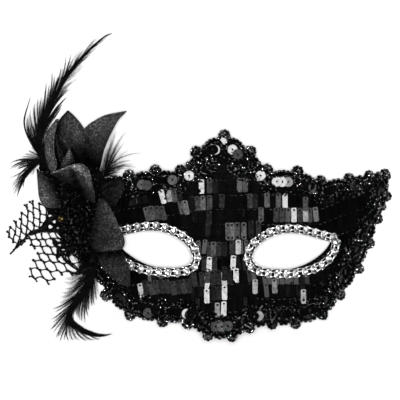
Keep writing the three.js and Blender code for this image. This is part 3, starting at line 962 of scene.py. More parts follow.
class Strings:
    """Gathers beads as plan places, distances out, sizes and thread directions."""

    def __init__(self):
        self.rows = []

    def bead(self, at, out, radius, along=(1, 0)):
        self.rows.append((*at, out, radius, *along))

    def string(self, points, out, radius, hump):
        """Beads side by side along a plan line, rising by hump in the middle."""
        length = np.sum(np.linalg.norm(np.diff(points, axis=0), axis=1))
        line = evenly(points, max(2, round(length / (BEAD_GAP * radius)) + 1))
        rise = hump * np.sin(math.pi * np.linspace(0, 1, len(line)))
        for at, along, more in zip(line, np.gradient(line, axis=0), rise):
            self.bead(at, out + more, radius, along)

    def arc(self, station, arc, sunk=0.0):
        """A string from one station to the next."""
        share = np.linspace(arc["start"], 1 - arc["start"], 12)
        inset = arc["inset"] + sunk + arc["ends"] * np.cos(math.pi * share) ** 2
        self.string(rim_point(station + share, inset), arc["out"], arc["bead"], 0.3)

    def ring(self, centre, ring_radius, out, radius, count, start):
        for turn in start + circle(count):
            x, y = math.cos(turn), math.sin(turn)
            self.bead((centre[0] + ring_radius * x, centre[1] + ring_radius * y), out, radius, (-y, x))

    def stamp(self, piece, template, rng):
        """Adds a bead at each place, a little out of line."""
        rows = np.array(self.rows)
        for px, py, clear in OPENINGS:
            gap = np.linalg.norm(rows[:, :2] - seen_on_mask(px, py, OPENINGS_OUT), axis=1)
            rows = rows[gap > clear + rows[:, 3]]
        x, y, out, radius, ax, ay = rows.T
        many = len(rows)
        radius = radius * rng.uniform(*BEAD_STRAY["size"], many)
        x = x + rng.normal(0, BEAD_STRAY["aside"], many)
        y = y + rng.normal(0, BEAD_STRAY["aside"], many)
        centre, normal = on_mask(x, y, out + rng.normal(0, BEAD_STRAY["out"], many))
        centre[:, 2] = np.maximum(centre[:, 2], FLOOR + radius)
        along = unit(np.stack([ax, ay, 0 * ax], -1)) + rng.normal(0, BEAD_STRAY["turn"], (many, 3))
        piece.stamp(template, centre, frames(along, normal), radius)


def barrel_bead():
    """A round glass bead threaded along z, of radius 1, with a fine hole."""
    half = ((0.3, 0.98), (0.66, 0.84), (0.91, 0.48), (1.0, 0.0))
    return bored([*half, *((r, -z) for r, z in half[2::-1])], 8)


def disc_sequin():
    """A round sequin, flat but for a slightly raised rim, with a hole in its middle, of radius 1."""
    return bored(((0.2, 0.0), (0.2, 0.03), (0.94, 0.03), (1.0, 0.05), (1.0, 0.02), (0.94, 0.0)), 20)


# Pixels of the picture where a round sequin shines, by how far it is turned from the light; those of
# the last two groups are dark ones that partly cover a shining one.
SHINING_ROUNDS = (
    (
        2.8,
        (
            (232.6, 149.6), (189, 175.6), (260.6, 175.6), (276.8, 181.6), (282.3, 182), (186.7, 313.7),
            (215, 149.8),
        ),
    ),
    (3.5, ((258.6, 315.8), (288, 182))), (4.6, ((142, 184.6), (172.5, 180), (221.8, 326.8))),
    (5.4, ((238, 154.2), (147, 185.4), (148, 313), (227.4, 326), (216.4, 326.6))),
    (14, ((211.4, 150), (189.6, 315.2))),
    (15, ((190.8, 313.6), (253.8, 316.4), (213.2, 149.6), (142.6, 308), (155, 309.4))),
)
ROUND_RADIUS = 2.9
ROUND = dict(inset=4.6, seen_out=4.5, shares=(0.34, 0.5, 0.66), out=0.9, clear=1.2)
ROUND_STRAY = dict(share=0.03, inset=0.5, lift=0.6, tilt=0.15)
ROUND_LIFT = (1.3, 0.25)  # of the first group that shines, and how much more for each further one
# The tape's scalloped edge: shares of the way to the next station, and how far it reaches out
SCALLOP = (
    (0, 1.2), (0.12, 1.0), (0.22, -1.0), (0.36, -0.4), (0.5, 0.1), (0.64, -0.4), (0.78, -1.0), (0.88, 1.0),
)
TAPE = dict(width=12.4, waist=2.6, over=0.55, swell=0.35, under=-0.3, columns=7, off_floor=(0.9, 0.02))
OPEN_LOOP = dict(half=0.15, reach=-5.6, widens=26.0)


def braid_tape(material):
    """The braid's ground: a scalloped woven strip under the beads."""
    station = np.add.outer(np.arange(STATIONS), [share for share, _ in SCALLOP]).reshape(-1)
    reach = np.tile([out for _, out in SCALLOP], STATIONS)
    for i in OPEN_LOOPS:
        gap = np.abs((station - i + STATIONS / 2) % STATIONS - STATIONS / 2)
        reach = np.where(gap < OPEN_LOOP["half"], OPEN_LOOP["reach"] + OPEN_LOOP["widens"] * gap, reach)
    for i, sunk in SUNK_ARCS.items():
        reach = reach - sunk * ((station > i + 0.1) & (station < i + 0.9))
    width = TAPE["width"] - TAPE["waist"] * np.sin(math.pi * station) ** 2
    tops, unders = [], []
    for share in np.linspace(0, 1, TAPE["columns"]):
        plan = rim_point(station, share * (width + reach) - reach).T
        over = TAPE["over"] + TAPE["swell"] * math.sin(math.pi * share)
        for line, out, clear in zip((tops, unders), (over, TAPE["under"]), TAPE["off_floor"]):
            points = above_mask(*plan, TRIM_FOOT + out)
            points[:, 2] = np.maximum(points[:, 2], FLOOR + clear)
            line.append(points)
    rings = np.stack(tops + unders[::-1], 1)
    piece = Piece()
    piece.add(rings, quads(*rings.shape[:2], close_rows=True, close_columns=True))
    piece.make("braid_tape", material, "seed_bead")


def braid_strings(rng):
    """Rosettes on the rim with beaded domes, arcs between them, and stems, wreaths and loops inside."""
    rosettes, arcs, inner = Strings(), Strings(), Strings()
    whole = [(rim_point(i, 0.0), BIG if i in BIG_ROSETTES else MIDDLING) for i in range(STATIONS)]
    odd = [(seen_on_mask(px, py, ROSETTE["out"]), size) for px, py, size in ODD_ROSETTES]
    for centre, size in whole + odd:
        start = rng.uniform(0, 1)
        for part, turn in ((ROSETTE, start), (DOME, start + 0.4)):
            ring, bead = part["ring"] * size, part["bead"] * size
            rosettes.ring(centre, ring, part["out"], bead, part["beads"], turn)
        rosettes.bead(centre, DOME["top_out"], DOME["top"] * size)
    for i in range(STATIONS):
        start = rng.uniform(0, 1)
        for lane in (-1, 1):
            stem = [rim_point(i + lane * share, inset) for share, inset in STEM]
            inner.string(stem, STEM_OUT, SMALL_BEAD, 0.4)
        wreath = rim_point(i, WREATH["inset"])
        inner.ring(wreath, WREATH["ring"], WREATH["out"], SMALL_BEAD, WREATH["beads"], start)
        inner.bead(wreath, WREATH["middle_out"], SMALL_BEAD)
        for arc in (OUTER_ARC, SECOND_ARC):
            arcs.arc(i, arc, SUNK_ARCS.get(i, 0.0))
        inner.arc(i, INNER_ARC)
        for _ in range(LOOSE["beads"]):
            at = rim_point(i + rng.uniform(*LOOSE["share"]), rng.uniform(*LOOSE["inset"]))
            inner.bead(at, LOOSE["out"], SMALL_BEAD, rng.normal(0, 1, 2))
    for px, py in BROW_LOOPS:
        at = seen_on_mask(px, py, BROW["seen_out"])
        ring, turn = rng.uniform(*BROW["ring"]), rng.uniform(0, 1)
        inner.ring(at, ring, BROW["out"], SMALL_BEAD, BROW["beads"], turn)
        for _ in range(BROW["loose"]):
            spot = at + rng.normal(0, BROW["spread"], 2)
            inner.bead(spot, BROW["loose_out"], SMALL_BEAD, rng.normal(0, 1, 2))
    return rosettes, arcs, inner


def beaded_trim(bead, gimp, film):
    """The braid: its beads, its round sequins and its tape."""
    rng = np.random.default_rng(23)
    template = barrel_bead()
    for name, strings in zip(("rosette_beads", "arc_beads", "inner_beads"), braid_strings(rng)):
        piece = Piece()
        strings.stamp(piece, template, rng)
        piece.make(name, bead, "seed_bead")
    round_sequins(film, rng)
    braid_tape(gimp)
    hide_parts("beaded_trim")


def round_sequins(material, rng):
    """Overlapping round sequins between the rosettes."""
    rows = []
    for i in range(STATIONS):
        for share in ROUND["shares"]:
            station = i + share + rng.normal(0, ROUND_STRAY["share"])
            at = rim_point(station, ROUND["inset"] + rng.normal(0, ROUND_STRAY["inset"]))
            rows.append((*at, 0.0, 0.0))
    rows = np.array(rows)
    for level, (angle, spots) in enumerate(SHINING_ROUNDS):
        for px, py in spots:
            at = seen_on_mask(px, py, ROUND["seen_out"])
            free = np.linalg.norm(rows[:, :2] - at, axis=1) + 1e3 * (rows[:, 2] > 0)
            rows[np.argmin(free)] = (*at, angle, ROUND_LIFT[0] + ROUND_LIFT[1] * level)
    x, y, angle, lift = rows.T
    lift = np.where(angle > 0, lift, rng.uniform(0, ROUND_STRAY["lift"], len(x)))
    centre, surface = on_mask(x, y, TRIM_FOOT + ROUND["out"] + lift)
    normal = unit(surface + rng.normal(0, ROUND_STRAY["tilt"], (len(x), 3)) * (1, 1, 0))
    normal = turned_from_light(centre, normal, angle, rng)
    centre[:, 2] = np.maximum(centre[:, 2], FLOOR + ROUND["clear"] + 0.2 * ROUND_RADIUS)
    piece = Piece()
    piece.stamp(disc_sequin(), centre, frames(normal, (0, 1, 0)), ROUND_RADIUS)
    sharpen(piece.make("round_sequins", material, "seed_bead"), 8)


# Stone bands
STONES = 24
STONE = dict(across=2.35, along=1.8, high=1.7)
STONE_RINGS = ((0.3, 0.5, 0.0), (0.58, 0.4, 0.5), (0.84, 0.24, 0.0), (1.0, 0.05, 0.5), (0.95, -0.1, 0.0))
STONE_SIDES = 8
# Painted light and shade on the stones: a middle tone, how much lighter to the left and darker to the
# right, random spread, and the darkest.
STONE_PAINTED_SHADING = dict(middle=0.74, left=0.36, spread=0.3, darkest=0.05)
STONE_LIES = dict(on_mask=0.3, upright=0.7, stray=0.045, size=(0.94, 1.03))
BAND_SETBACK = 0.3
BAND_WIDTH = 4.8
BAND_OUT = 2.9
STONE_OUT = 0.75  # over the band's foot, like the wires
WIRES_OUT = 0.5
CUP = dict(wider=0.02, sunk=0.05, radius=0.14, steps=20)
CLAW = dict(across=1.7, along=1.25, out=0.4, sizes=(0.3, 0.36, 0.3))
WIRES = ((-2.35, 0.15), (-0.85, 0.3), (1.55, 0.33))  # distances from the band's middle, and radii
WIRE_HALF = 1.5


def cut_stone():
    """An oval stone with a table and rows of facets, of radius 1."""
    triangles = []
    for r in range(len(STONE_RINGS) - 1):
        shift = 1 if STONE_RINGS[r][2] else 0
        for k in range(STONE_SIDES):
            a, b = r * STONE_SIDES + k, r * STONE_SIDES + (k + 1) % STONE_SIDES
            c, d = ((r + 1) * STONE_SIDES + (k + shift + step) % STONE_SIDES for step in (0, 1))
            triangles += [(a, c, b), (b, c, d)]
    last = (len(STONE_RINGS) - 1) * STONE_SIDES
    caps = [fan(0, STONE_SIDES), fan(last, STONE_SIDES)[:, ::-1]]
    return lathe(STONE_RINGS, STONE_SIDES), np.vstack([triangles, *caps])


def stone_band(side, name, stone, silver):
    """Set stones round one eye, in claw cups that wires join, with dark gaps between them."""
    rng = np.random.default_rng(60 + side)
    middle = evenly(eye_outline(side, BAND_SETBACK + BAND_WIDTH / 2, sagging=1.0), STONES, closed=True)
    before, after = np.roll(middle, 1, axis=0), np.roll(middle, -1, axis=0)
    along = np.column_stack([unit(after - before), np.zeros(STONES)])
    centre, surface = on_mask(*middle.T, BAND_OUT + STONE_OUT)
    axes = frames(surface, along)
    facing = surface * STONE_LIES["on_mask"] + (0, 0, STONE_LIES["upright"])
    facing = unit(facing + rng.normal(0, STONE_LIES["stray"], (STONES, 3)))
    turned = frames(facing, along)
    half = np.array((STONE["across"], STONE["along"], STONE["high"]))
    template = cut_stone()
    sizes = half * rng.uniform(*STONE_LIES["size"], (STONES, 1))
    # Painted light and shade: facets lighter on the left and darker on the right, as if lit from the left,
    # with random painted dark reflections.
    to_right = np.einsum("kj,nji->nki", template[0], turned)[..., 0]
    painted_light_and_shade = STONE_PAINTED_SHADING["middle"] - STONE_PAINTED_SHADING["left"] * to_right
    painted_light_and_shade = painted_light_and_shade + rng.normal(0, STONE_PAINTED_SHADING["spread"], to_right.shape)
    stones = Piece()
    stones.stamp(template, centre, turned, sizes, np.clip(painted_light_and_shade, STONE_PAINTED_SHADING["darkest"], 1.0))
    stones.make(f"{name}_stones", stone, "rhinestone", smooth=False)
    metal = Piece()
    cup = np.column_stack([oval(0, 0, *(half[:2] + CUP["wider"]), CUP["steps"]), np.zeros(CUP["steps"])])
    cups = (centre - surface * CUP["sunk"])[:, None] + cup @ axes
    metal.add(*tubes(cups, CUP["radius"], sides=5, closed=True))
    for a in (-CLAW["across"], CLAW["across"]):
        for b in (-CLAW["along"], CLAW["along"]):
            at = centre + axes[:, 0] * a + axes[:, 1] * b + surface * CLAW["out"]
            metal.stamp(ball(8, 5), at, axes, [CLAW["sizes"]])
    ahead = unit(after - middle)
    across = np.stack([ahead[:, 1], -ahead[:, 0]], -1)
    for offset, radius in WIRES:
        between = (middle + after) / 2 + across * offset
        ends = [between + ahead * step for step in (-WIRE_HALF, 0, WIRE_HALF)]
        paths = [above_mask(*end.T, BAND_OUT + WIRES_OUT) for end in ends]
        metal.add(*tubes(np.stack(paths, 1), radius, sides=8, flat=0.45))
    metal.make(f"{name}_setting", silver, "rhinestone", [name])


# The flower's petals. Rows run from base to tip: the pixel of the left edge, that of the right edge, and
# the height of the row's middle over the carrier. Cup raises both edges, twist raises the right one over
# the left, and vein sinks the middle. Tones are painted light and shade: those of base, middle and tip,
# which change about the tone rows, most of them dark at the base where shade falls; left and right are
# their factors at the edges, for a painted shaded or lit side; streaks and ribs give stripes along and
# across. Round places of painted shade, or of painted highlight where the factor is over 1, have pixel,
# radius and factor. Bright lines are painted highlights on creases: half width, brightness, path.
PETALS = {}
PETALS["petal_top_left"] = dict(
    rows=(
        (58, 178, 78, 176, 6), (53.4, 162, 83, 163, 9), (51.6, 149, 86, 150, 11.5),
        (52.4, 137, 86, 137.4, 12.5), (56.4, 125, 83.4, 127.4, 12.8), (62.4, 116, 76, 117.6, 12.3),
        (67.7, 110.6, 68.3, 110.6, 11),
    ),
    cup=1.6, twist=-1.5, tones=(0.08, 0.46, 1.03), tone_rows=(0.25, 0.5), left=0.25, right=1.1, vein=0.25,
    painted_light_and_shade=(
        (54, 128, 5, 0.1), (55, 138, 5, 0.1), (57, 148, 6, 0.1), (62, 160, 7, 0.15), (60, 130, 6, 0.6),
        (78, 162, 6, 0.3), (77, 130, 8, 1.2), (77, 140, 5, 1.3), (84, 150, 4, 0.4), (71, 153, 8, 0.25),
        (74, 165, 9, 0.15), (64, 140, 6, 0.6), (68.4, 127, 4, 0.7),
    ),
    painted_crease_highlights=(
        (0.5, 1.1, (56, 136), (57.4, 148), (60.4, 161)), (0.5, 1.2, (60, 137), (65, 142.6), (69.6, 149)),
        (0.5, 0.7, (58, 146), (61.4, 153), (63, 160)), (0.5, 0.5, (79, 124), (80, 134), (79, 143)),
    ),
)
PETALS["petal_top_right"] = dict(
    rows=(
        (74, 178, 97, 180, 5), (80, 162, 100.4, 166, 9), (84.6, 148, 104.2, 149.5, 12),
        (84.6, 137, 109, 138, 13.5), (83.6, 130, 113.6, 128.4, 13.5), (87.6, 125.5, 116.6, 122.6, 13.2),
        (94.4, 120.6, 119.8, 118.4, 13), (106, 115, 123.4, 114.4, 12.4), (126.2, 111, 126.6, 111.4, 11.6),
    ),
    cup=1.5, twist=1, tones=(0.2, 0.98, 1.48), tone_rows=(0.25, 0.55), left=0.8, right=0.85, vein=0.3,
    painted_light_and_shade=(
        (84, 152, 7, 0.2), (88, 161, 9, 0.08), (97, 166, 7, 0.2), (86, 141, 4, 0.4), (103, 127, 9, 1.2),
        (116, 118, 6, 1.2),
    ),
)
PETALS["petal_curled"] = dict(
    rows=(
        (50.8, 171.4, 53.5, 172.4, 13.6), (47.2, 163.3, 57, 166.1, 14.4), (45.2, 152, 54.8, 154, 15.4),
        (45.2, 142, 54, 143, 16), (47, 132.4, 55.2, 133, 16.2), (51.3, 125.6, 57.3, 124.5, 15.6),
        (56, 119.4, 58.6, 118.8, 14.8),
    ),
    cup=-0.9, twist=1.6, tones=(1.6, 2, 1.5), tone_rows=(0.2, 0.85), left=0.75, right=0.8, vein=0,
    streaks=0.28, painted_light_and_shade=((50, 165, 6, 0.7), (54, 147, 5, 0.75)),
)
PETALS["petal_inner"] = dict(
    rows=(
        (59.5, 170, 76, 168, 17), (61.4, 164, 75.2, 162.5, 18), (64.4, 158, 73.6, 157, 18.4),
        (67.3, 152.8, 71.6, 152.4, 18.2), (69.4, 149, 69.8, 149, 17.6),
    ),
    cup=-0.7, twist=-0.5, tones=(0.3, 0.95, 2.05), tone_rows=(0.2, 0.6), left=1, right=0.25, vein=0,
    ribs=0.4, painted_light_and_shade=((68.4, 154, 4, 1.6), (74, 164, 4, 0.3)),
)
PETALS["petal_front"] = dict(
    rows=(
        (72, 196, 95.4, 203, 16), (70, 188, 94.6, 194, 20), (66, 183, 92.6, 184.6, 23.5),
        (61, 180, 90.6, 175, 26), (57, 177.6, 87.6, 167.6, 27.4), (54, 175.8, 80, 163.6, 27.4),
        (52, 174.4, 70, 165.8, 26.6), (51.1, 173.4, 60.6, 169.4, 25.6), (51, 173, 52.4, 172.4, 25),
    ),
    cup=-2.2, twist=2.6, tones=(0.4, 0.85, 0.9), tone_rows=(0.2, 0.7), left=0.56, right=1.3, vein=1,
    painted_light_and_shade=(
        (71.5, 170, 3, 0.4), (73.5, 175, 4, 0.15), (76, 182, 5, 0.1), (79, 190, 6, 0.08),
        (83, 198, 6, 0.15), (67, 186, 5, 0.2), (72, 194, 6, 0.08), (78.5, 168.4, 2.6, 5.2),
        (74, 166.4, 2.4, 5.2), (82.4, 172.6, 2.4, 4), (87.6, 177, 2.8, 2.8), (89.6, 184, 2.6, 2.1),
        (67, 168.2, 2.5, 2.2), (63, 178, 5, 0.8), (58, 175, 3, 0.6),
    ),
    painted_crease_highlights=(
        (0.8, 4.5, (51.5, 172.6), (56, 171.4), (61, 169.9), (66, 167.6), (70, 166)),
        (0.6, 1.2, (80, 167), (85, 171.4), (88.4, 176.4), (91, 184)),
        (0.6, 0.6, (76, 172), (79, 177), (84, 186)),
    ),
)
PETALS["petal_left"] = dict(
    rows=(
        (74, 200, 70, 212, 7.5), (60, 188, 62, 208.5, 9.5), (50.6, 180, 53.4, 208, 10.4),
        (43.6, 174.6, 46.4, 207.2, 10.2), (39, 171, 41.8, 203.6, 9.2), (37, 168.6, 39, 196, 8.4),
        (36.8, 171, 38.6, 186, 8),
    ),
    cup=1.1, twist=1, tones=(0.12, 0.8, 1.1), tone_rows=(0.2, 0.6), left=0.6, right=1.1, vein=0.2,
    painted_light_and_shade=(
        (52, 181, 6, 0.12), (57, 188, 7, 0.15), (63, 196, 8, 0.2), (67, 207, 7, 0.3), (48, 199, 5, 1.8),
        (43, 197, 4, 1.4), (41, 178, 5, 0.8), (44, 185, 6, 1.6),
    ),
)
PETALS["petal_right"] = dict(
    rows=(
        (96, 180, 98, 203, 8), (103, 178.8, 106, 206, 10.5), (111, 178.6, 113, 206.6, 11),
        (116.6, 178.6, 117.4, 202.6, 10.5), (121, 179, 120.6, 197, 9.5), (124.2, 182, 123.8, 189.6, 8.6),
    ),
    cup=0.9, twist=-0.8, tones=(0.07, 0.21, 0.35), tone_rows=(0.1, 0.6), left=0.6, right=0.95, vein=0.2,
    painted_crease_highlights=(
        (0.6, 0.3, (100, 196), (108, 190), (118, 188)), (0.6, 0.25, (104, 201), (110, 196), (117, 196)),
        (0.6, 0.3, (101, 190), (107, 184), (113, 181.6)),
    ),
)
PETALS["petal_lower_right"] = dict(
    rows=(
        (99, 198.6, 103.6, 199.6, 18.6), (96.6, 207, 109.4, 206.4, 19.4), (94, 219.6, 115.2, 217.4, 19.4),
        (91, 231, 119.8, 228, 18.8), (89, 240, 124, 237.4, 18), (91.6, 247, 124.8, 243.4, 17.2),
        (98.6, 250.8, 122.4, 248.4, 16.8), (106, 251.3, 113, 250.4, 16.6),
    ),
    cup=-1.6, twist=-0.6, tones=(0.62, 0.7, 0.66), tone_rows=(0.1, 0.7), left=0.5, right=1.2, vein=0.15,
    painted_light_and_shade=(
        (91, 204, 5, 0.25), (91, 215, 5, 0.3), (90, 228, 6, 0.3), (90, 240, 6, 0.4), (96, 222, 5, 0.8),
        (97, 249, 3.5, 1.5), (104, 250, 3.5, 1.6), (112, 249, 4, 1.7), (120, 246, 4, 1.6),
        (104, 241, 6, 0.75), (112, 218, 5, 1.35), (118, 230, 4, 1.3),
    ),
)
PETALS["petal_low"] = dict(
    rows=(
        (90, 240, 116, 240, 11.5), (94.4, 250, 121.6, 250, 12.4), (99.8, 263, 125.6, 259.6, 12.2),
        (107, 272.6, 128.8, 268.2, 11.6), (114.6, 280, 130.2, 276.4, 11), (122.6, 285, 130.2, 282.4, 10.4),
        (129.2, 286.4, 129.8, 286, 10),
    ),
    cup=0.9, twist=0.4, tones=(0.32, 0.59, 0.65), tone_rows=(0.15, 0.5), left=0.8, right=0.85, vein=0.25,
    painted_light_and_shade=(
        (100, 253, 6, 0.15), (110, 253, 6, 0.15), (120, 252, 6, 0.2), (113, 268, 6, 1.2),
        (123, 266, 4, 1.3),
    ),
)
PETAL_THICK = 0.32
PETAL_GRID = (44, 29)
RIPPLE = dict(count=5, height=0.16, along=(1, 4), across=(-3, 3), phase=(0, 7))
VEIN_WIDTH = 0.16
RIBS = dict(along=9, bend=1.5)
STREAKS = dict(across=4.3, along=0.4)
# Painted shade: the power deepens the dark tones further.
TONE_FADE = dict(rows=0.2, power=0.16)  # how softly tones change, and how much the dark ones deepen


def petal_surface(spec, u, v, rng):
    """The petal's pixels, its points, and its ribs from -1 to 1; u runs from base to tip, v across."""
    rows = np.array(spec["rows"], float)
    left, right, over = (along_path(part, len(u)) for part in (rows[:, :2], rows[:, 2:4], rows[:, 4:]))
    px, py = (left[:, k, None] + (right - left)[:, k, None] * v for k in (0, 1))
    side = 2 * v - 1
    arch = np.sin(math.pi * u)
    rise = over + spec["cup"] * side ** 2 * arch ** 0.5
    rise = rise + spec["twist"] * side * arch ** 0.7
    rise = rise - spec["vein"] * np.exp(-((side / VEIN_WIDTH) ** 2)) * arch
    for _ in range(RIPPLE["count"]):
        f, g, phase = (rng.uniform(*RIPPLE[key]) for key in ("along", "across", "phase"))
        rise = rise + RIPPLE["height"] * np.sin(2 * math.pi * (f * u + g * v) + phase)
    ribs = np.sin(2 * math.pi * RIBS["along"] * u + RIBS["bend"] * side)
    rise = rise + spec.get("ribs", 0) * ribs
    return px, py, lifted(px, py, rise, start=20.0), ribs


def painted_petal_shading(spec, px, py, u, v, ribs):
    """How bright the petal is at each point: its painted light and shade, darker where shade falls at its
    base, edges and folds, with painted highlights where light falls on it.
    """
    # Tones from base to tip are painted light and shade.
    low, middle, high = spec["tones"]
    first, second = spec["tone_rows"]
    tone = low + (middle - low) * ease(0, first * 2, u)
    tone = tone + (high - middle) * ease(second - TONE_FADE["rows"], second + TONE_FADE["rows"], u)
    # Painted shade or light on one side of the petal.
    tone = tone * (1 + (spec["left"] - 1) * ease(0.5, 0, v) + (spec["right"] - 1) * ease(0.5, 1, v))
    streaks = np.sin(2 * math.pi * (STREAKS["across"] * v + STREAKS["along"] * u))
    tone = tone * (1 + spec.get("streaks", 0) * streaks)
    tone = tone * (1 + spec.get("ribs", 0) * ribs)
    # Round places of painted shade, or of painted highlight where the factor is over 1.
    for sx, sy, radius, amount in spec.get("painted_light_and_shade", ()):
        tone = tone * (1 + (amount - 1) * np.exp(-((px - sx) ** 2 + (py - sy) ** 2) / radius ** 2))
    # Bright lines: painted highlights on the creases.
    for wide, amount, *path in spec.get("painted_crease_highlights", ()):
        line = along_path(path, 30)
        far = np.min(np.hypot(px[..., None] - line[:, 0], py[..., None] - line[:, 1]), axis=-1)
        tone = tone + amount * np.exp(-(far / wide) ** 2)
    return (tone * np.clip(tone, 0.01, 1) ** TONE_FADE["power"]).reshape(-1)


def petal(name, spec, material, number):
    """One cut and curved petal of stiff satin, a closed thin sheet."""
    along, across = PETAL_GRID
    u, v = np.linspace(0, 1, along)[:, None], np.linspace(0, 1, across)
    px, py, points, ribs = petal_surface(spec, u, v, np.random.default_rng(100 + number))
    normal = unit(np.cross(np.gradient(points, axis=1), np.gradient(points, axis=0)) + (0, 0, 1e-6))
    normal = normal * np.sign(normal[..., 2:] + TINY)
    grid = points.reshape(-1, 3)
    triangles = quads(along, across)
    a, b, c = (grid[triangles[:, k]] for k in range(3))
    faces = np.cross(b - a, c - a)
    if np.sum(faces[:, 2]) < 0:
        triangles = triangles[:, ::-1]
    offset = normal.reshape(-1, 3) * PETAL_THICK / 2
    piece = Piece()
    thicken(piece, grid + offset, grid - offset, triangles, painted_petal_shading(spec, px, py, u, v, ribs))
    obj = piece.make(name, material, "petal_fabric", [name])


# Feathers. A spine of pixels and heights over the carrier; a core of short barbs that hug the spine, by
# point of the spine and how many pixels it reaches to the left and right, or to both; and locks of long
# barbs: the spine's point where they start, a pixel that they pass, the pixel of their tip, how many barbs
# there are before the lock factor, and how far they stray.
FEATHERS = {}
FEATHERS["feather_tall"] = dict(
    spine=(
        (49, 170, 9), (44, 158, 8), (40.6, 149, 7.5), (39.6, 140, 7.5), (41.1, 131.8, 7.5),
        (43.9, 121.2, 8), (47.4, 110.7, 8.5), (52.3, 100.9, 9), (57.9, 91.1, 9.5), (63.5, 81.9, 10),
        (69.1, 73.5, 11), (76.1, 64.4, 12), (83.2, 56.7, 13), (90.2, 49.6, 14), (95.8, 44, 14.5),
        (100.7, 39.8, 15), (107, 35.3, 15), (112, 33.4, 15),
    ),
    core=(
        (0, 5, 6), (3, 7.4, 9), (4, 8, 8.5), (5, 6.8, 6.6), (6, 4, 3.8), (7, 2.6, 3.4), (8, 2.2, 2.6),
        (9, 2.4, 2.1), (10, 2.3, 1.6), (11, 2.1, 1.5), (12, 1.8, 1.2), (13, 1.5, 1), (14, 1.2, 0.9),
        (15, 1, 0.8), (16, 0.8, 0.7), (17, 0.2, 0.2),
    ),
    core_count=1800, quill=0.45, thick=0.085, sweep=1.6,
    locks=(
        (1.6, 31.8, 124, 32, 109, 22, 0.8), (2, 34.8, 121, 35.2, 102.6, 50, 0.8),
        (2.6, 37.6, 118, 38.2, 97, 28, 0.7), (3, 39.8, 115, 41.6, 96.6, 36, 0.8),
        (3.4, 42, 113, 43.4, 99, 34, 0.9), (3.8, 44.2, 105, 46.4, 82, 50, 0.55),
        (4.3, 46.6, 103, 49.4, 81.4, 34, 0.6), (4.9, 48.6, 101, 50, 88, 30, 0.6),
        (5.2, 50.2, 95, 52, 71, 44, 0.5), (5.6, 52.2, 93, 55, 73, 26, 0.6),
        (6.1, 54.4, 89, 58, 75.6, 32, 0.6), (6.6, 56, 86, 58.6, 77, 30, 0.48),
        (6.9, 57.8, 83, 61.2, 65.4, 32, 0.42), (7.6, 61, 78.6, 62.8, 67.6, 16, 0.48),
        (8.1, 63.6, 73, 65, 54.8, 28, 0.33), (8.6, 66.2, 71, 68.2, 60.6, 15, 0.42),
        (8.9, 67.4, 69, 70.8, 53, 21, 0.3), (9.5, 70, 66, 72.8, 59.4, 18, 0.42),
        (10.4, 75.6, 60, 80, 51, 14, 1.8), (11.2, 80, 55, 86.4, 46.6, 12, 1.8),
        (12.2, 88.4, 46.8, 94.6, 39.6, 8, 0.5), (12.8, 91.6, 43.6, 99, 37.4, 8, 0.5),
        (5.2, 54, 104.2, 61.6, 95.8, 26, 0.4), (4.4, 53.4, 112, 61.4, 103.2, 34, 0.4),
        (4.2, 55, 116, 61.4, 107.6, 30, 0.9), (4.8, 57.4, 107.6, 66.8, 97.4, 36, 0.5),
        (4.5, 55.6, 112.4, 63.4, 104, 26, 0.5), (5.7, 56.4, 103, 63.4, 94.6, 30, 0.45),
        (6.2, 58.6, 98, 64.6, 89.6, 24, 0.6), (6.8, 61.4, 94.8, 67.4, 88, 16, 0.9),
        (7.2, 64, 92.6, 73.4, 88.2, 11, 0.9), (7.6, 65.4, 88.4, 71, 82.4, 14, 1.3),
        (8.1, 69, 84.4, 78.6, 78.4, 10, 0.9), (9.2, 75, 74.6, 83.6, 69.2, 7, 1.4),
        (9.8, 79, 68, 87, 64.4, 6, 1.4), (10.4, 82.4, 61, 92.4, 54, 16, 0.5), (12, 91, 52, 98, 47, 8, 0.8),
        (13.4, 99, 43, 107, 37.4, 10, 0.5),
    ),
)
FEATHERS["feather_wisp"] = dict(
    spine=(
        (40, 156, 2), (35, 147, 2), (30.5, 140, 2.2), (26.3, 132.5, 2.4), (24.2, 123.3, 2.8),
        (24.9, 115.6, 3.6), (27.4, 107, 4.8), (30.3, 97.4, 6),
    ),
    core=((0, 4), (1, 3.4), (2, 2.2), (3, 1.2), (4, 0.9), (5, 0.8), (6, 0.5), (7, 0.1)), core_count=360,
    quill=0.28, thick=0.08, sweep=0.6,
    locks=(
        (1.2, 30.6, 132, 28.6, 113, 26, 1.4), (1.5, 28, 130, 27.4, 116, 26, 1.2),
        (0.8, 33, 136, 31.4, 122, 40, 1.6), (0.5, 35.4, 138, 34, 124, 40, 1.6),
        (2.2, 27.6, 128, 28, 112, 16, 1.2),
    ),
)
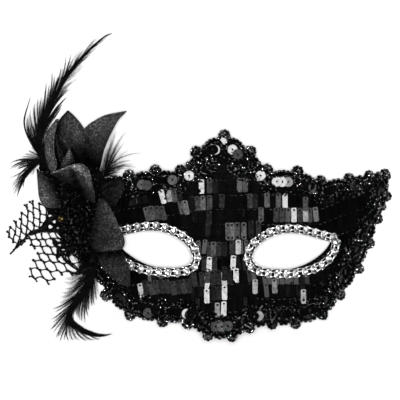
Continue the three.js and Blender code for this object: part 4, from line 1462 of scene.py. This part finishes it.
FEATHERS["feather_left"] = dict(
    spine=(
        (50, 162, 6), (42, 160.6, 5), (36, 163.4, 4), (30.6, 169, 3), (26.1, 175.4, 2.4), (23, 181, 2),
        (20.8, 186.5, 1.8), (18.5, 191.9, 1.5), (17.3, 196.6, 1.2),
    ),
    core=((0, 6), (1, 5), (2, 3.4), (3, 2.4), (4, 1.5), (5, 0.9), (6, 0.6), (7, 0.4), (8, 0.05)),
    core_count=700, quill=0.28, thick=0.075, sweep=0.5,
    locks=(
        (0.3, 24, 161.6, 9.6, 169.9, 50, 0.5), (0.3, 25, 163, 12.6, 169.4, 26, 0.6),
        (0.6, 27, 165.6, 16.6, 169.4, 50, 0.6), (0.4, 26, 164, 17, 168.2, 22, 0.7),
        (0.3, 24.3, 158.8, 8.6, 164.8, 22, 0.4), (0.3, 26, 159.4, 14, 162.6, 24, 0.5),
        (0.3, 28, 160.4, 20, 161.2, 40, 0.8), (0.2, 30, 157, 20.6, 157.6, 16, 0.4),
        (0.1, 31, 155, 24.6, 155.2, 14, 0.5), (0, 33, 152.4, 29, 151, 22, 0.9),
        (0, 35.4, 149.6, 32, 146, 26, 0.9), (1.2, 26.6, 167.6, 15.8, 180.4, 56, 0.5),
        (1.6, 27.4, 169.8, 18.6, 180.6, 44, 0.7), (2.2, 25, 174, 19.6, 186, 50, 0.6),
        (2.8, 22.4, 180.4, 17.4, 195.4, 40, 0.4), (1.6, 19, 173.6, 8.8, 178, 9, 0.7),
        (2.2, 20, 176.6, 9, 185.6, 14, 0.7), (2.4, 19.4, 179, 9.6, 189.4, 16, 0.7),
        (2.6, 19.2, 181.4, 11.4, 193, 18, 0.6), (2.9, 19.6, 183, 13.4, 195.4, 18, 0.5),
        (3.2, 20.2, 184.6, 15.4, 194, 16, 0.5), (3.4, 24.4, 179.6, 23.5, 188.6, 20, 0.35),
        (1.9, 29.4, 172, 24.6, 178.6, 30, 0.9), (1.5, 32.6, 170, 33, 176.6, 16, 1.5),
    ),
)
FEATHERS["feather_right"] = dict(
    spine=(
        (96, 186, 10), (101, 180, 10), (105.4, 174, 9.6), (108.4, 168, 9), (112.6, 161, 8.6), (116, 154, 8),
    ),
    core=((0, 3), (1, 2.4), (2, 1.6), (3, 0.9), (4, 0.5), (5, 0.2)), core_count=70, quill=0.2, thick=0.065,
    sweep=0.5,
    locks=(
        (1, 102.6, 161, 107.4, 143, 9, 0.9), (1.5, 105.4, 158, 109.6, 141, 12, 1.1),
        (1.8, 108, 153, 113.6, 128, 14, 1), (2.1, 110.6, 150, 121, 127, 12, 1.1),
        (2.2, 114.4, 156.6, 127.8, 138.4, 26, 0.8), (2.4, 114, 150, 127.8, 129, 26, 0.8),
        (2, 109.4, 151.6, 117.4, 127, 22, 0.9), (1.7, 105, 163, 108.6, 146, 12, 1.2),
        (1.4, 103, 166, 106, 153, 10, 1), (2, 109, 156, 113.4, 138, 16, 1.6),
        (2.3, 112.6, 154.6, 119.6, 143, 26, 1.6), (2.6, 119.6, 158.4, 144, 152.3, 20, 0.5),
        (2.4, 117.4, 163.6, 135, 160.2, 24, 0.8), (2.4, 116.6, 160, 131, 147, 16, 1.4),
        (2.2, 118.4, 166, 134.6, 164.8, 14, 1), (2.1, 119, 166.4, 132.8, 167.8, 18, 0.8),
        (2, 121, 166.4, 138.8, 168.6, 12, 0.8), (2, 118, 168.6, 126.8, 169.8, 14, 0.5),
        (1.9, 116, 171, 123, 168.8, 16, 0.6), (1.8, 114, 173, 122.4, 172.2, 22, 0.6),
        (1.6, 110, 175.4, 121.2, 175.2, 30, 0.6), (2, 112, 168.6, 117.6, 163.4, 20, 0.8),
    ),
)
FEATHERS["feather_low"] = dict(
    spine=(
        (88, 236, 9), (90.9, 250, 9.5), (92.5, 262, 9.5), (93, 270, 10), (91.7, 280, 10), (88.6, 286.5, 10),
        (85, 291.7, 9.6), (80.8, 297, 9.4), (76.7, 301.7, 9), (73, 306.5, 8.8), (70, 311.7, 8.6),
        (69, 315, 8.5), (69.2, 318.3, 8.4), (71.7, 323.3, 8.4), (78.3, 328.3, 8.6), (86.7, 332.5, 9),
        (95, 335, 9), (103.3, 335.8, 9), (111.8, 334, 9),
    ),
    core=(
        (0, 7, 7), (3, 5, 9), (4, 2.4, 9.4), (5, 2.4, 8), (6, 3.4, 7.6), (7, 4.6, 6.8), (8, 5, 5.4),
        (9, 4.8, 4), (10, 5.2, 3.2), (11, 5.4, 2.8), (12, 5, 3), (13, 4, 3.8), (14, 3.2, 3.8), (15, 2.8, 3),
        (16, 2.4, 2), (17, 1.8, 0.9), (18, 0.1, 0.1),
    ),
    core_count=1700, quill=0.5, thick=0.085, sweep=1.4,
    locks=(
        (1.6, 79, 270, 72.4, 273.6, 30, 1.6), (2, 77, 275, 65, 278, 26, 1.6),
        (2.6, 77, 281, 63.6, 281.6, 28, 1.5), (3, 76, 285, 64.6, 287.6, 26, 1.4),
        (3.4, 74.6, 289, 61.4, 292, 28, 1.4), (3.9, 72.6, 293, 60.4, 296.4, 26, 1.3),
        (4.5, 71, 297.4, 58.4, 302.6, 24, 1.2), (5.2, 67, 302.4, 52.6, 308.8, 34, 0.6),
        (5.6, 66, 305.6, 54.4, 311.6, 22, 0.7), (6.4, 63, 311.4, 50.4, 319.4, 30, 0.6),
        (6.9, 62, 315, 52, 322.6, 22, 0.8), (7.4, 60.4, 319.4, 49.6, 330.6, 30, 0.6),
        (8, 61, 322, 51.8, 334, 20, 0.8), (8.6, 62, 325.6, 55.4, 340.4, 24, 0.7),
        (9, 62.6, 328.6, 57.4, 337, 18, 0.8), (9.4, 63.8, 330.4, 60, 341, 30, 0.5),
        (10, 65.6, 332, 64.4, 340.4, 16, 0.7), (10.5, 66.4, 331.8, 69.8, 341.8, 34, 0.5),
        (11.2, 70, 333.4, 74.6, 340.6, 18, 1.2), (11.8, 74, 334.6, 80.4, 340, 20, 1.1),
        (12.6, 79.6, 335.8, 88, 339.6, 20, 0.9), (13.2, 86, 337.2, 95.4, 338.8, 22, 0.7),
        (14.4, 94, 337.6, 100, 337.8, 12, 0.5), (3, 96.4, 286, 99, 296, 12, 1.3),
        (3.5, 94.6, 290, 97, 300.6, 22, 1.1), (3.9, 93, 294, 94.4, 306, 26, 0.8),
        (4.2, 91.4, 296, 92.2, 307, 36, 0.6), (4.8, 88.4, 301, 89, 311.4, 30, 0.8),
        (5.3, 86.4, 305, 89, 317.6, 26, 0.7), (5.6, 84.6, 307, 85.4, 324.6, 34, 0.6),
        (6.2, 82, 309, 82.4, 323.4, 32, 0.6), (6.8, 79.4, 309.4, 80.4, 320.6, 28, 0.7),
        (7.6, 77, 311, 78.4, 319, 20, 0.9), (11.6, 76, 324, 84, 326.4, 26, 1),
        (12.6, 83, 328.4, 91.6, 331.2, 24, 0.8), (14, 93, 332.4, 100.6, 333.8, 14, 0.5),
        (0.6, 82, 262, 78, 272, 50, 2),
    ),
)
BARB_STEPS = 8
CORE_REACH = (1.2, 3.0)  # spine points that a core barb runs along
LOCK_FACTOR = 1.25
BARB_WIDTHS = (1.1, 0.75)  # of the core's barbs and of the locks', times the feather's own
BARB = dict(tip=0.18, root=0.82, taper=0.7, size=(0.7, 1.3), clear=0.3)
QUILL = dict(steps=60, taper=0.8, tip=0.05)
# Core barbs: how they gather at the spine, fan out along their length, and droop towards the edges
CORE = dict(before=0.4, gather=0.2, root=0.3, fan=0.75, late=1.2, level=0.5, droop=0.12)
# Locks: how far barbs stray at their middle and tip, how long they are, and how their height strays
LOCK = dict(join=0.8, tip=0.45, least=0.55, more=0.45, power=0.9, level=0.3, rise=(-0.2, 0.9))


def core_barbs(spec, rng):
    """Short barbs that run along the spine and fan out to the core's width."""
    spine = np.array(spec["spine"], float)
    last = len(spine) - 1
    count = spec["core_count"]
    reach = rng.uniform(*CORE_REACH, count)
    start = rng.uniform(-CORE["before"], last, count)
    t = np.linspace(0, 1, BARB_STEPS)
    places = np.clip(start[:, None] + reach[:, None] * t, 0, last)
    line = catmull_rom(spine, places)
    after, before = np.minimum(places + 0.05, last), np.maximum(places - 0.05, 0)
    ahead = unit((catmull_rom(spine, after) - catmull_rom(spine, before))[..., :2] + TINY)
    core = np.array(spec["core"], float).T
    left, right = (np.interp(places, core[0], core[k]) for k in (1, -1))
    share = rng.random(count) * (left + right)[:, -1] - left[:, -1]
    share = (share / np.where(share < 0, left[:, -1], right[:, -1]))[:, None]
    half = np.where(share < 0, left, right)
    out = share * np.abs(share) ** CORE["gather"] * half * (CORE["root"] + CORE["fan"] * t ** CORE["late"])
    line[..., 0] -= ahead[..., 1] * out
    line[..., 1] += ahead[..., 0] * out
    line[..., 2] += rng.normal(0, CORE["level"], (count, 1)) - CORE["droop"] * out ** 2 / (half + 0.5)
    return line


def lock_barbs(spec, rng):
    """Long barbs from the spine past each lock's middle to its tip, most of them ending short of it."""
    spine = np.array(spec["spine"], float)
    last = len(spine) - 1
    paths = []
    for station, jx, jy, tx, ty, count, stray in spec["locks"]:
        count = round(count * LOCK_FACTOR)
        back = rng.uniform(0, spec["sweep"], count)
        root = catmull_rom(spine, np.clip(station - back, 0, last))
        join = np.array((jx, jy)) + rng.normal(0, LOCK["join"] * stray, (count, 2))
        tip = np.array((tx, ty)) + rng.normal(0, LOCK["tip"] * stray, (count, 2))
        bend = 2 * join - (root[:, :2] + tip) / 2
        reach = LOCK["least"] + LOCK["more"] * rng.random((count, 1)) ** LOCK["power"]
        t = (reach * np.linspace(0, 1, BARB_STEPS))[..., None]
        plan = (1 - t) ** 2 * root[:, None, :2] + 2 * t * (1 - t) * bend[:, None] + t ** 2 * tip[:, None]
        level = root[:, None, 2:] + rng.normal(0, LOCK["level"], (count, 1, 1))
        level = level + t * rng.normal(*LOCK["rise"], (count, 1, 1))
        paths.append(np.concatenate([plan, level], -1))
    return np.vstack(paths)


def feather(name, spec, material, number):
    """A quill, its core of short barbs and its locks of fine ones."""
    rng = np.random.default_rng(200 + number)
    core, locks = core_barbs(spec, rng), lock_barbs(spec, rng)
    paths = np.vstack([core, locks])
    points = lifted(paths[..., 0], paths[..., 1], paths[..., 2])
    points[..., 2] = np.maximum(points[..., 2], FLOOR + BARB["clear"])
    taper = BARB["tip"] + BARB["root"] * (1 - np.linspace(0, 1, BARB_STEPS)) ** BARB["taper"]
    thick = np.repeat(BARB_WIDTHS, (len(core), len(locks)))[:, None] * spec["thick"]
    piece = Piece()
    piece.add(*tubes(points, thick * rng.uniform(*BARB["size"], (len(points), 1)) * taper, sides=3))
    quill = spec["quill"] * (1 - np.linspace(0, 1, QUILL["steps"])) ** QUILL["taper"] + QUILL["tip"]
    piece.add(*tubes(lifted(*along_path(spec["spine"], QUILL["steps"]).T), quill, sides=8))
    piece.make(name, material, "feather", [name])


# Netting. A net's cells stand on a warped lattice of pixels: a cell's place (i, j) is a sum of these steps,
# times 1, i, j, i squared, i j and j squared. Columns run to the right, rows upwards. Each cell has two
# knots, from which three strands run; weights are their thicknesses. Over has pixels with heights over the
# carrier; folds are bunched strands: how many, how far they stray, and their path. Flat is in metres.
NETS = {}
NETS["net_upper"] = dict(
    steps=((25.26, 221.42), (6.03, -2.82), (0.15, -9.12), (0.08, -0.2), (-0.18, 0.1), (-0.34, -0.64)),
    columns=(-4, 5), rows=(-3, 2), knots=((0.41, 0), (0.33, 0.7)), weights=(1, 1.25, 0.9),
    outline=(
        (40, 201.6), (46, 206), (49, 212), (52, 219), (50, 226), (44, 230), (36, 233), (29, 238),
        (24, 244.6), (17.6, 246.4), (13.6, 243.6), (10, 243.4), (7.6, 241), (5.6, 236), (8.6, 227),
        (14.6, 220.6), (17.6, 215), (21, 211), (26, 205.6), (31.6, 202),
    ),
    over=((31, 227, 5.5), (60, 215, 11), (10, 235, 2.5), (35, 205, 6)), ripple=0.8,
    folds=(
        (6, 0.8, (23, 240.6), (28, 234.6), (34, 231), (41, 229.6), (46.6, 224), (50.4, 220), (55, 215)),
        (6, 1.2, (31, 234.4), (38, 232), (46, 230.6), (56, 230.4), (64, 229)),
        (4, 1, (40, 229), (46, 231.6), (52, 231), (60, 233)),
        (1, 0.1, (10, 254), (14.4, 249.6), (17, 245), (21.6, 240)),
        (1, 0.1, (13.4, 250), (18, 246.6), (22.4, 241), (25, 238)),
    ),
    flat=(0.045, 0.06),
)
NETS["net_lower"] = dict(
    steps=((40.74, 265.57), (9.68, 1.16), (3.92, -7.88), (0.07, -0.12), (-0.65, -0.41), (-0.21, 0.12)),
    columns=(-4, 5), rows=(-2, 4), knots=((0.767, 0.356), (0.19, 0.58)), weights=(0.88, 1, 1.3),
    outline=(
        (36.6, 252.6), (33.6, 249.6), (33, 246), (27.6, 244), (27, 238), (34, 231), (46, 231), (60, 231),
        (68, 238), (78, 248), (86, 262), (84, 272), (71.4, 274.6), (64, 277.6), (57, 280.4), (49, 283),
        (46, 284.6), (38.6, 285.6), (33.6, 281), (29.4, 278.4), (28.8, 270), (31.4, 261), (32, 255.6),
    ),
    over=((50, 266, 5.5), (75, 250, 10), (32, 275, 3), (60, 240, 8)), ripple=0.7,
    folds=(
        (4, 0.9, (54, 243), (58, 248), (61.6, 253), (64, 259), (70, 264)),
        (4, 0.8, (57.6, 257), (60, 253.6), (65, 251), (72, 247)),
        (2, 0.5, (66, 250), (68, 256), (70, 262), (72, 266)),
        (4, 1.3, (52, 240), (58, 243), (64, 242), (72, 240)),
        (3, 0.5, (66, 270), (72, 272.4), (78, 273.6), (83, 272)),
        (3, 0.6, (66, 262), (73, 267), (80, 271.4)),
    ),
    flat=(0.055, 0.055),
)
STRAND = 0.46
KNOT = 0.68
NET_STRAY = dict(knot=0.3, cut=(0.15, 0.5), bow=0.07, strand=(0.85, 1.15), knots=(0.75, 1.2))
FOLD_STRAY = dict(aside=0.6, rise=(0.4, 0.8), wave=0.5, pitch=0.9, phase=(0, 6), strand=(0.8, 1.2))
NET_WAVES = ((0.33, 0.21), (-0.1, 0.27))  # radians for each pixel to the right and down, of two waves
SWELL = dict(least=0.9, more=0.6, power=3)  # strands thicken towards their knots
STRAND_STEPS = 7
FOLD_STEPS = 30


def lattice(spec, i, j):
    """The pixel at a place of the net's lattice."""
    return np.tensordot((1, i, j, i * i, i * j, j * j), np.array(spec["steps"], float), 1)


def net_strands(spec, rng):
    """Strands between the knots of six-sided cells, cut at the net's outline, and the knots."""
    outline = np.array(spec["outline"], float)
    knots = {}
    strands, thick, ends = [], [], []

    def knot(i, j, kind):
        if (i, j, kind) not in knots:
            right, down = spec["knots"][kind - 1]
            knots[i, j, kind] = lattice(spec, i + right, j - down) + rng.normal(0, NET_STRAY["knot"], 2)
        return knots[i, j, kind]

    for i in range(spec["columns"][0], spec["columns"][1] + 1):
        for j in range(spec["rows"][0], spec["rows"][1] + 1):
            here = knot(i, j, 1)
            others = (knot(i, j, 2), knot(i, j + 1, 2), knot(i + 1, j, 2))
            for weight, there in zip(spec["weights"], others):
                kept = [bool(inside(p, outline)) for p in (here, there)]
                if not any(kept):
                    continue
                start, end = (here, there) if kept[0] else (there, here)
                if not all(kept):
                    end = start + (end - start) * rng.uniform(*NET_STRAY["cut"])
                    ends.append(end)
                t = np.linspace(0, 1, STRAND_STEPS)[:, None]
                run = end - start
                bow = np.array([-run[1], run[0]]) * rng.normal(0, NET_STRAY["bow"])
                strands.append(start + run * t + bow * np.sin(math.pi * t))
                thick.append(weight)
    ends += [p for p in knots.values() if inside(p, outline)]
    return np.array(strands), np.array(thick), np.array(ends)


def net(name, spec, material, number):
    """A fan of knotted netting, cut at its edge, with bunched strands where it is gathered."""
    rng = np.random.default_rng(300 + number)
    spots = np.array(spec["over"], float)

    def over(px, py):
        gaps = np.hypot(px[..., None] - spots[:, 0], py[..., None] - spots[:, 1]) + 4
        weight = gaps ** -2.0
        level = np.sum(weight * spots[:, 2], -1) / np.sum(weight, -1)
        one, other = (px * right + py * down for right, down in NET_WAVES)
        return level + spec["ripple"] * np.sin(one) * np.cos(other)

    def raised(px, py, more=0.0):
        return lifted(px, py, over(px, py) + more)

    strands, thick, ends = net_strands(spec, rng)
    ends_near = np.abs(np.linspace(-1, 1, STRAND_STEPS))
    swell = SWELL["least"] + SWELL["more"] * ends_near ** SWELL["power"]
    thick = STRAND * thick[:, None] * rng.uniform(*NET_STRAY["strand"], (len(strands), 1)) * swell
    piece = Piece()
    piece.add(*tubes(raised(strands[..., 0], strands[..., 1]), thick, sides=6))
    flat = frames(np.tile((0.0, 0.0, 1.0), (len(ends), 1)), (0, 1, 0))
    piece.stamp(ball(8, 5), raised(*ends.T), flat, KNOT * rng.uniform(*NET_STRAY["knots"], len(ends)))
    for count, stray, *path in spec["folds"]:
        line = along_path(path, FOLD_STEPS)
        for _ in range(count):
            wander = np.cumsum(rng.normal(0, 1, (FOLD_STEPS, 2)), axis=0)
            wander = (wander - wander.mean(0)) / (wander.std(0) + 1e-6)
            px, py = (line + wander * stray * FOLD_STRAY["aside"]).T
            more = rng.normal(*FOLD_STRAY["rise"])
            wave = np.arange(FOLD_STEPS) * FOLD_STRAY["pitch"] + rng.uniform(*FOLD_STRAY["phase"])
            more = more + FOLD_STRAY["wave"] * np.sin(wave)
            piece.add(*tubes(raised(px, py, more), STRAND * rng.uniform(*FOLD_STRAY["strand"]), sides=6))
    obj = piece.make(name, material, "net_tulle", [name])


# The flower's heart: crinkled tulle and tinsel in soft clumps, each given by the pixel of its middle,
# its height over the carrier, its half sizes in pixels and across, and how many threads it has.
HEART_CLUMPS = (
    (80, 228, 13.5, 13, 27, 4.6, 320), (80, 198, 12, 14, 11, 4.5, 130), (66, 193, 9, 9, 9, 3.5, 80),
    (55, 184, 6.5, 9, 8, 3, 60), (49, 173, 5.5, 7, 7, 3, 40), (43, 167, 4, 5, 6, 2.5, 20),
    (64, 208, 8.5, 8, 9, 3.5, 90), (70, 238, 10, 7, 9, 4, 90), (84, 250, 10, 7.5, 10, 4, 90),
    (95, 196, 11, 9, 14, 4, 60), (97, 178, 8, 8, 12, 3.5, 30), (67, 222, 9, 6, 8, 3.5, 60),
    (92, 262, 8, 7, 9, 3, 40),
)
WRINKLE = 0.07
CORE_SHARE = 0.9  # of a clump's size that its core fills
THREAD_STEPS = 15
THREAD_STEP = 1.1  # millimetres
THREAD_RADII = (0.07, 0.14)
THREAD_LEVELS = (0.92, 1.12)  # where threads run, as a share of the clump's size
LOOSE_THREADS = dict(share=0.15, further=0.25)
THREAD_BEND = dict(start=0.5, kept=0.7, more=0.5, turns=0.6)
THREAD_LOWEST = -0.2
LAYERS_OVER = 7.0
LAYERS_HALF = 0.2
GAP_SIDES = 9
GAP_REACH = (0.65, 1.2)
# Layered netting beside the heart: the pixels of its edge, and of its gaps with their half sizes.
LAYERS = (
    (45.6, 205), (47.6, 211), (47, 217), (44.4, 221), (41, 226), (37.6, 229.4), (42, 232), (50, 232.6),
    (56, 232.8), (60, 236.6), (62, 241), (60.4, 246), (56.4, 249), (58, 256.4), (64, 255.6), (68, 257),
    (74, 253), (78, 244), (76, 232), (72, 216), (66, 203),
)
LAYER_GAPS = (
    (50, 215.8, 1.8, 1.3), (54, 221.6, 1.8, 1.6), (50.4, 226.6, 2.1, 2.2), (44, 228.6, 1.5, 1.5),
    (57.6, 228.4, 1.3, 1.5), (62.6, 244.6, 1.2, 1), (67.4, 241, 1.3, 0.7), (67, 244.8, 1, 1.1),
    (63.4, 249.6, 1.8, 0.7), (65.8, 253, 1, 1), (69, 249.8, 0.9, 1.2), (71, 254.2, 1.3, 0.6),
    (73.6, 246, 0.7, 2), (60, 251.8, 0.8, 1), (52.4, 218.6, 0.9, 0.6), (59.4, 241.2, 0.9, 0.6),
)


def layered_net(piece):
    """Netting that lies several times over itself, with a few gaps that light comes through."""
    edge = catmull_rom(LAYERS, np.arange(0, len(LAYERS), 0.25), closed=True)
    rng = np.random.default_rng(43)
    gaps = []
    for px, py, wide, tall in LAYER_GAPS:
        reach = rng.uniform(*GAP_REACH, GAP_SIDES)
        gaps.append(oval(px, py, wide * reach, tall * reach, GAP_SIDES))
    plan, triangles = filled(edge, gaps, 2.0)
    px, py = plan.T
    over = LAYERS_OVER + 0.5 * np.sin(0.9 * px + 0.3 * py) + 0.3 * np.sin(1.3 * py)
    top, bottom = (lifted(px, py, over + half) for half in (LAYERS_HALF, -LAYERS_HALF))
    thicken(piece, top, bottom, triangles[:, ::-1])


def flower_heart(core_material, thread_material):
    """The dark soft cores, and the crinkled threads over them."""
    rng = np.random.default_rng(41)
    cores, threads = Piece(), Piece()
    shape, triangles = ball(28, 16)
    for px, py, over, wide, tall, thick, count in HEART_CLUMPS:
        centre = lifted(px, py, over)
        size = np.array((wide * PIXEL, tall * PIXEL, thick))
        wrinkle = 0.9 + WRINKLE * np.sin(9 * shape[:, 0] + 5 * shape[:, 1] + px)
        wrinkle = wrinkle + WRINKLE * np.sin(11 * shape[:, 1] + py)
        cores.add(centre + shape * wrinkle[:, None] * size * CORE_SHARE, triangles)
        step_length = THREAD_STEP / math.sqrt(size[0] * size[1])
        at = unit(rng.normal(0, 1, (count, 3)) + (0, 0, 0.4))
        at[:, 2] = np.abs(at[:, 2])
        heading = unit(rng.normal(0, 1, (count, 3)))
        bend = rng.normal(0, THREAD_BEND["start"], (count, 3))
        level = rng.uniform(*THREAD_LEVELS, (count, 1))
        level = level + LOOSE_THREADS["further"] * (rng.random((count, 1)) < LOOSE_THREADS["share"])
        path = []
        for step in range(THREAD_STEPS):
            bend = THREAD_BEND["kept"] * bend + rng.normal(0, THREAD_BEND["more"], (count, 3))
            heading = unit(heading + bend * THREAD_BEND["turns"])
            at = unit(at + heading * step_length)
            at[:, 2] = np.maximum(at[:, 2], THREAD_LOWEST)
            path.append(centre + at * size * (level + 0.05 * math.sin(step * 1.3)))
        threads.add(*tubes(np.stack(path, 1), rng.uniform(*THREAD_RADII, (count, 1)), sides=4, flat=0.7))
    layered_net(cores)
    cores.make("heart_core", core_material, "net_tulle")
    threads.make("heart_threads", thread_material, "net_tulle", ["tulle_heart"])


GILT = dict(x=-89.2, y=12.0, over=14.0, radius=2.2, flutes=8, flute=0.05, bore=0.22)
GILT_MESH = dict(sides=32, rings=12, ends=0.28)


def gold_bead(material):
    """The small gilt bead, fluted, with a hole through it."""
    centre = np.array((GILT["x"], GILT["y"], carrier(GILT["x"], GILT["y"]) + GILT["over"]))
    sides, rings, ends = (GILT_MESH[key] for key in ("sides", "rings", "ends"))
    fall = np.linspace(ends, math.pi - ends, rings)
    flute = np.tile(1 + GILT["flute"] * np.cos(GILT["flutes"] * circle(sides)), rings)[:, None]
    outer = lathe(zip(np.sin(fall), np.cos(fall)), sides)
    outer[:, :2] *= flute
    bore = lathe(zip([GILT["bore"]] * rings, np.cos(fall[::-1])), sides)
    shape = np.vstack([outer, bore]) * GILT["radius"]
    tilted = frames(np.array((0.5, -0.4, 0.8)), (0, 1, 0))
    piece = Piece()
    faces = quads(2 * rings, sides, close_rows=True, close_columns=True)[:, ::-1]
    piece.add(centre + shape @ tilted, faces)
    piece.make("gold_bead_fluted", material, "gold", ["gold_bead"])


# Stage: sizes and distances in metres, watts, and degrees round the mask and down from upright
KEY = dict(size=0.3, watts=172.0)
SIDE_LIGHTS = (("left", 165, 62, 6.0), ("right", 20, 62, 5.0), ("top", 95, 60, 5.0))
SIDE_DISTANCE = 1.5
SIDE_SIZE = 0.6
AMBIENT = (0.03, 0.03, 0.031)
SENSOR = 36.0
FLOOR_SIZE = 12.0
FURTHEST_SEEN = 20.0


def stage():
    """The pale floor."""
    bpy.ops.mesh.primitive_plane_add(size=FLOOR_SIZE, location=(0, 0, 0))
    floor = bpy.context.object
    floor.name = "floor"
    floor.data.materials.append(floor_material())


def area_light(name, size, watts, place, target):
    """A round light that the camera doesn't see."""
    light = bpy.data.lights.new(name, "AREA")
    light.shape = "DISK"
    light.size = size
    light.energy = watts
    obj = bpy.data.objects.new(name, light)
    obj.location = place
    obj.rotation_euler = (Vector(target) - Vector(place)).to_track_quat("-Z", "Y").to_euler()
    obj.visible_camera = False
    bpy.context.scene.collection.objects.link(obj)


def in_part(x, y, z):
    """A place of the mask's own frame, in metres in the part's."""
    return tuple(np.array((x, y, z)) * MM + ORIGIN)


def lights():
    """A key straight above, from the camera's side, and three weak lights that lean in."""
    middle = in_part(CENTRE[0], CENTRE[1], FLOOR)
    area_light("key", KEY["size"], KEY["watts"], in_part(CENTRE[0], CENTRE[1], KEY_HEIGHT), middle)
    for name, azimuth, lean, watts in SIDE_LIGHTS:
        turn, tilt = math.radians(azimuth), math.radians(lean)
        place = (
            middle[0] + SIDE_DISTANCE * math.sin(tilt) * math.cos(turn),
            middle[1] + SIDE_DISTANCE * math.sin(tilt) * math.sin(turn),
            SIDE_DISTANCE * math.cos(tilt),
        )
        area_light(name, SIDE_SIZE, watts, place, middle)
    world = bpy.data.worlds.new("studio")
    world.use_nodes = True
    world.node_tree.nodes["Background"].inputs["Color"].default_value = (*AMBIENT, 1)
    bpy.context.scene.world = world


def camera():
    """The camera that took the picture, straight above its middle."""
    data = bpy.data.cameras.new("camera")
    obj = bpy.data.objects.new("camera", data)
    data.sensor_width = SENSOR
    data.lens = data.sensor_width * CAMERA_HEIGHT / (PICTURE * PIXEL)
    data.clip_end = FURTHEST_SEEN
    obj.location = in_part(CENTRE[0], CENTRE[1], FLOOR + CAMERA_HEIGHT)
    bpy.context.scene.collection.objects.link(obj)
    bpy.context.scene.camera = obj
    bpy.context.scene.view_settings.view_transform = "Standard"


def build():
    camera()
    stage()
    lights()
    film, cloth = sequin_material(), cloth_material()
    mask_base(plastic_material())
    backing_cloth(cloth)
    sequins(film, stitch_material())
    beaded_trim(bead_material(), gimp_material(), film)
    stone, silver = stone_material(), silver_material()
    stone_band(1, "rhinestone_band_right", stone, silver)
    stone_band(-1, "rhinestone_band_left", stone, silver)
    flower_heart(cloth, tinsel_material())
    satin, plume, thread = petal_material(), feather_material(), thread_material()
    for make, specs, material in ((petal, PETALS, satin), (feather, FEATHERS, plume), (net, NETS, thread)):
        for number, (name, spec) in enumerate(specs.items()):
            make(name, spec, material, number)
    gold_bead(gold_material())


build()
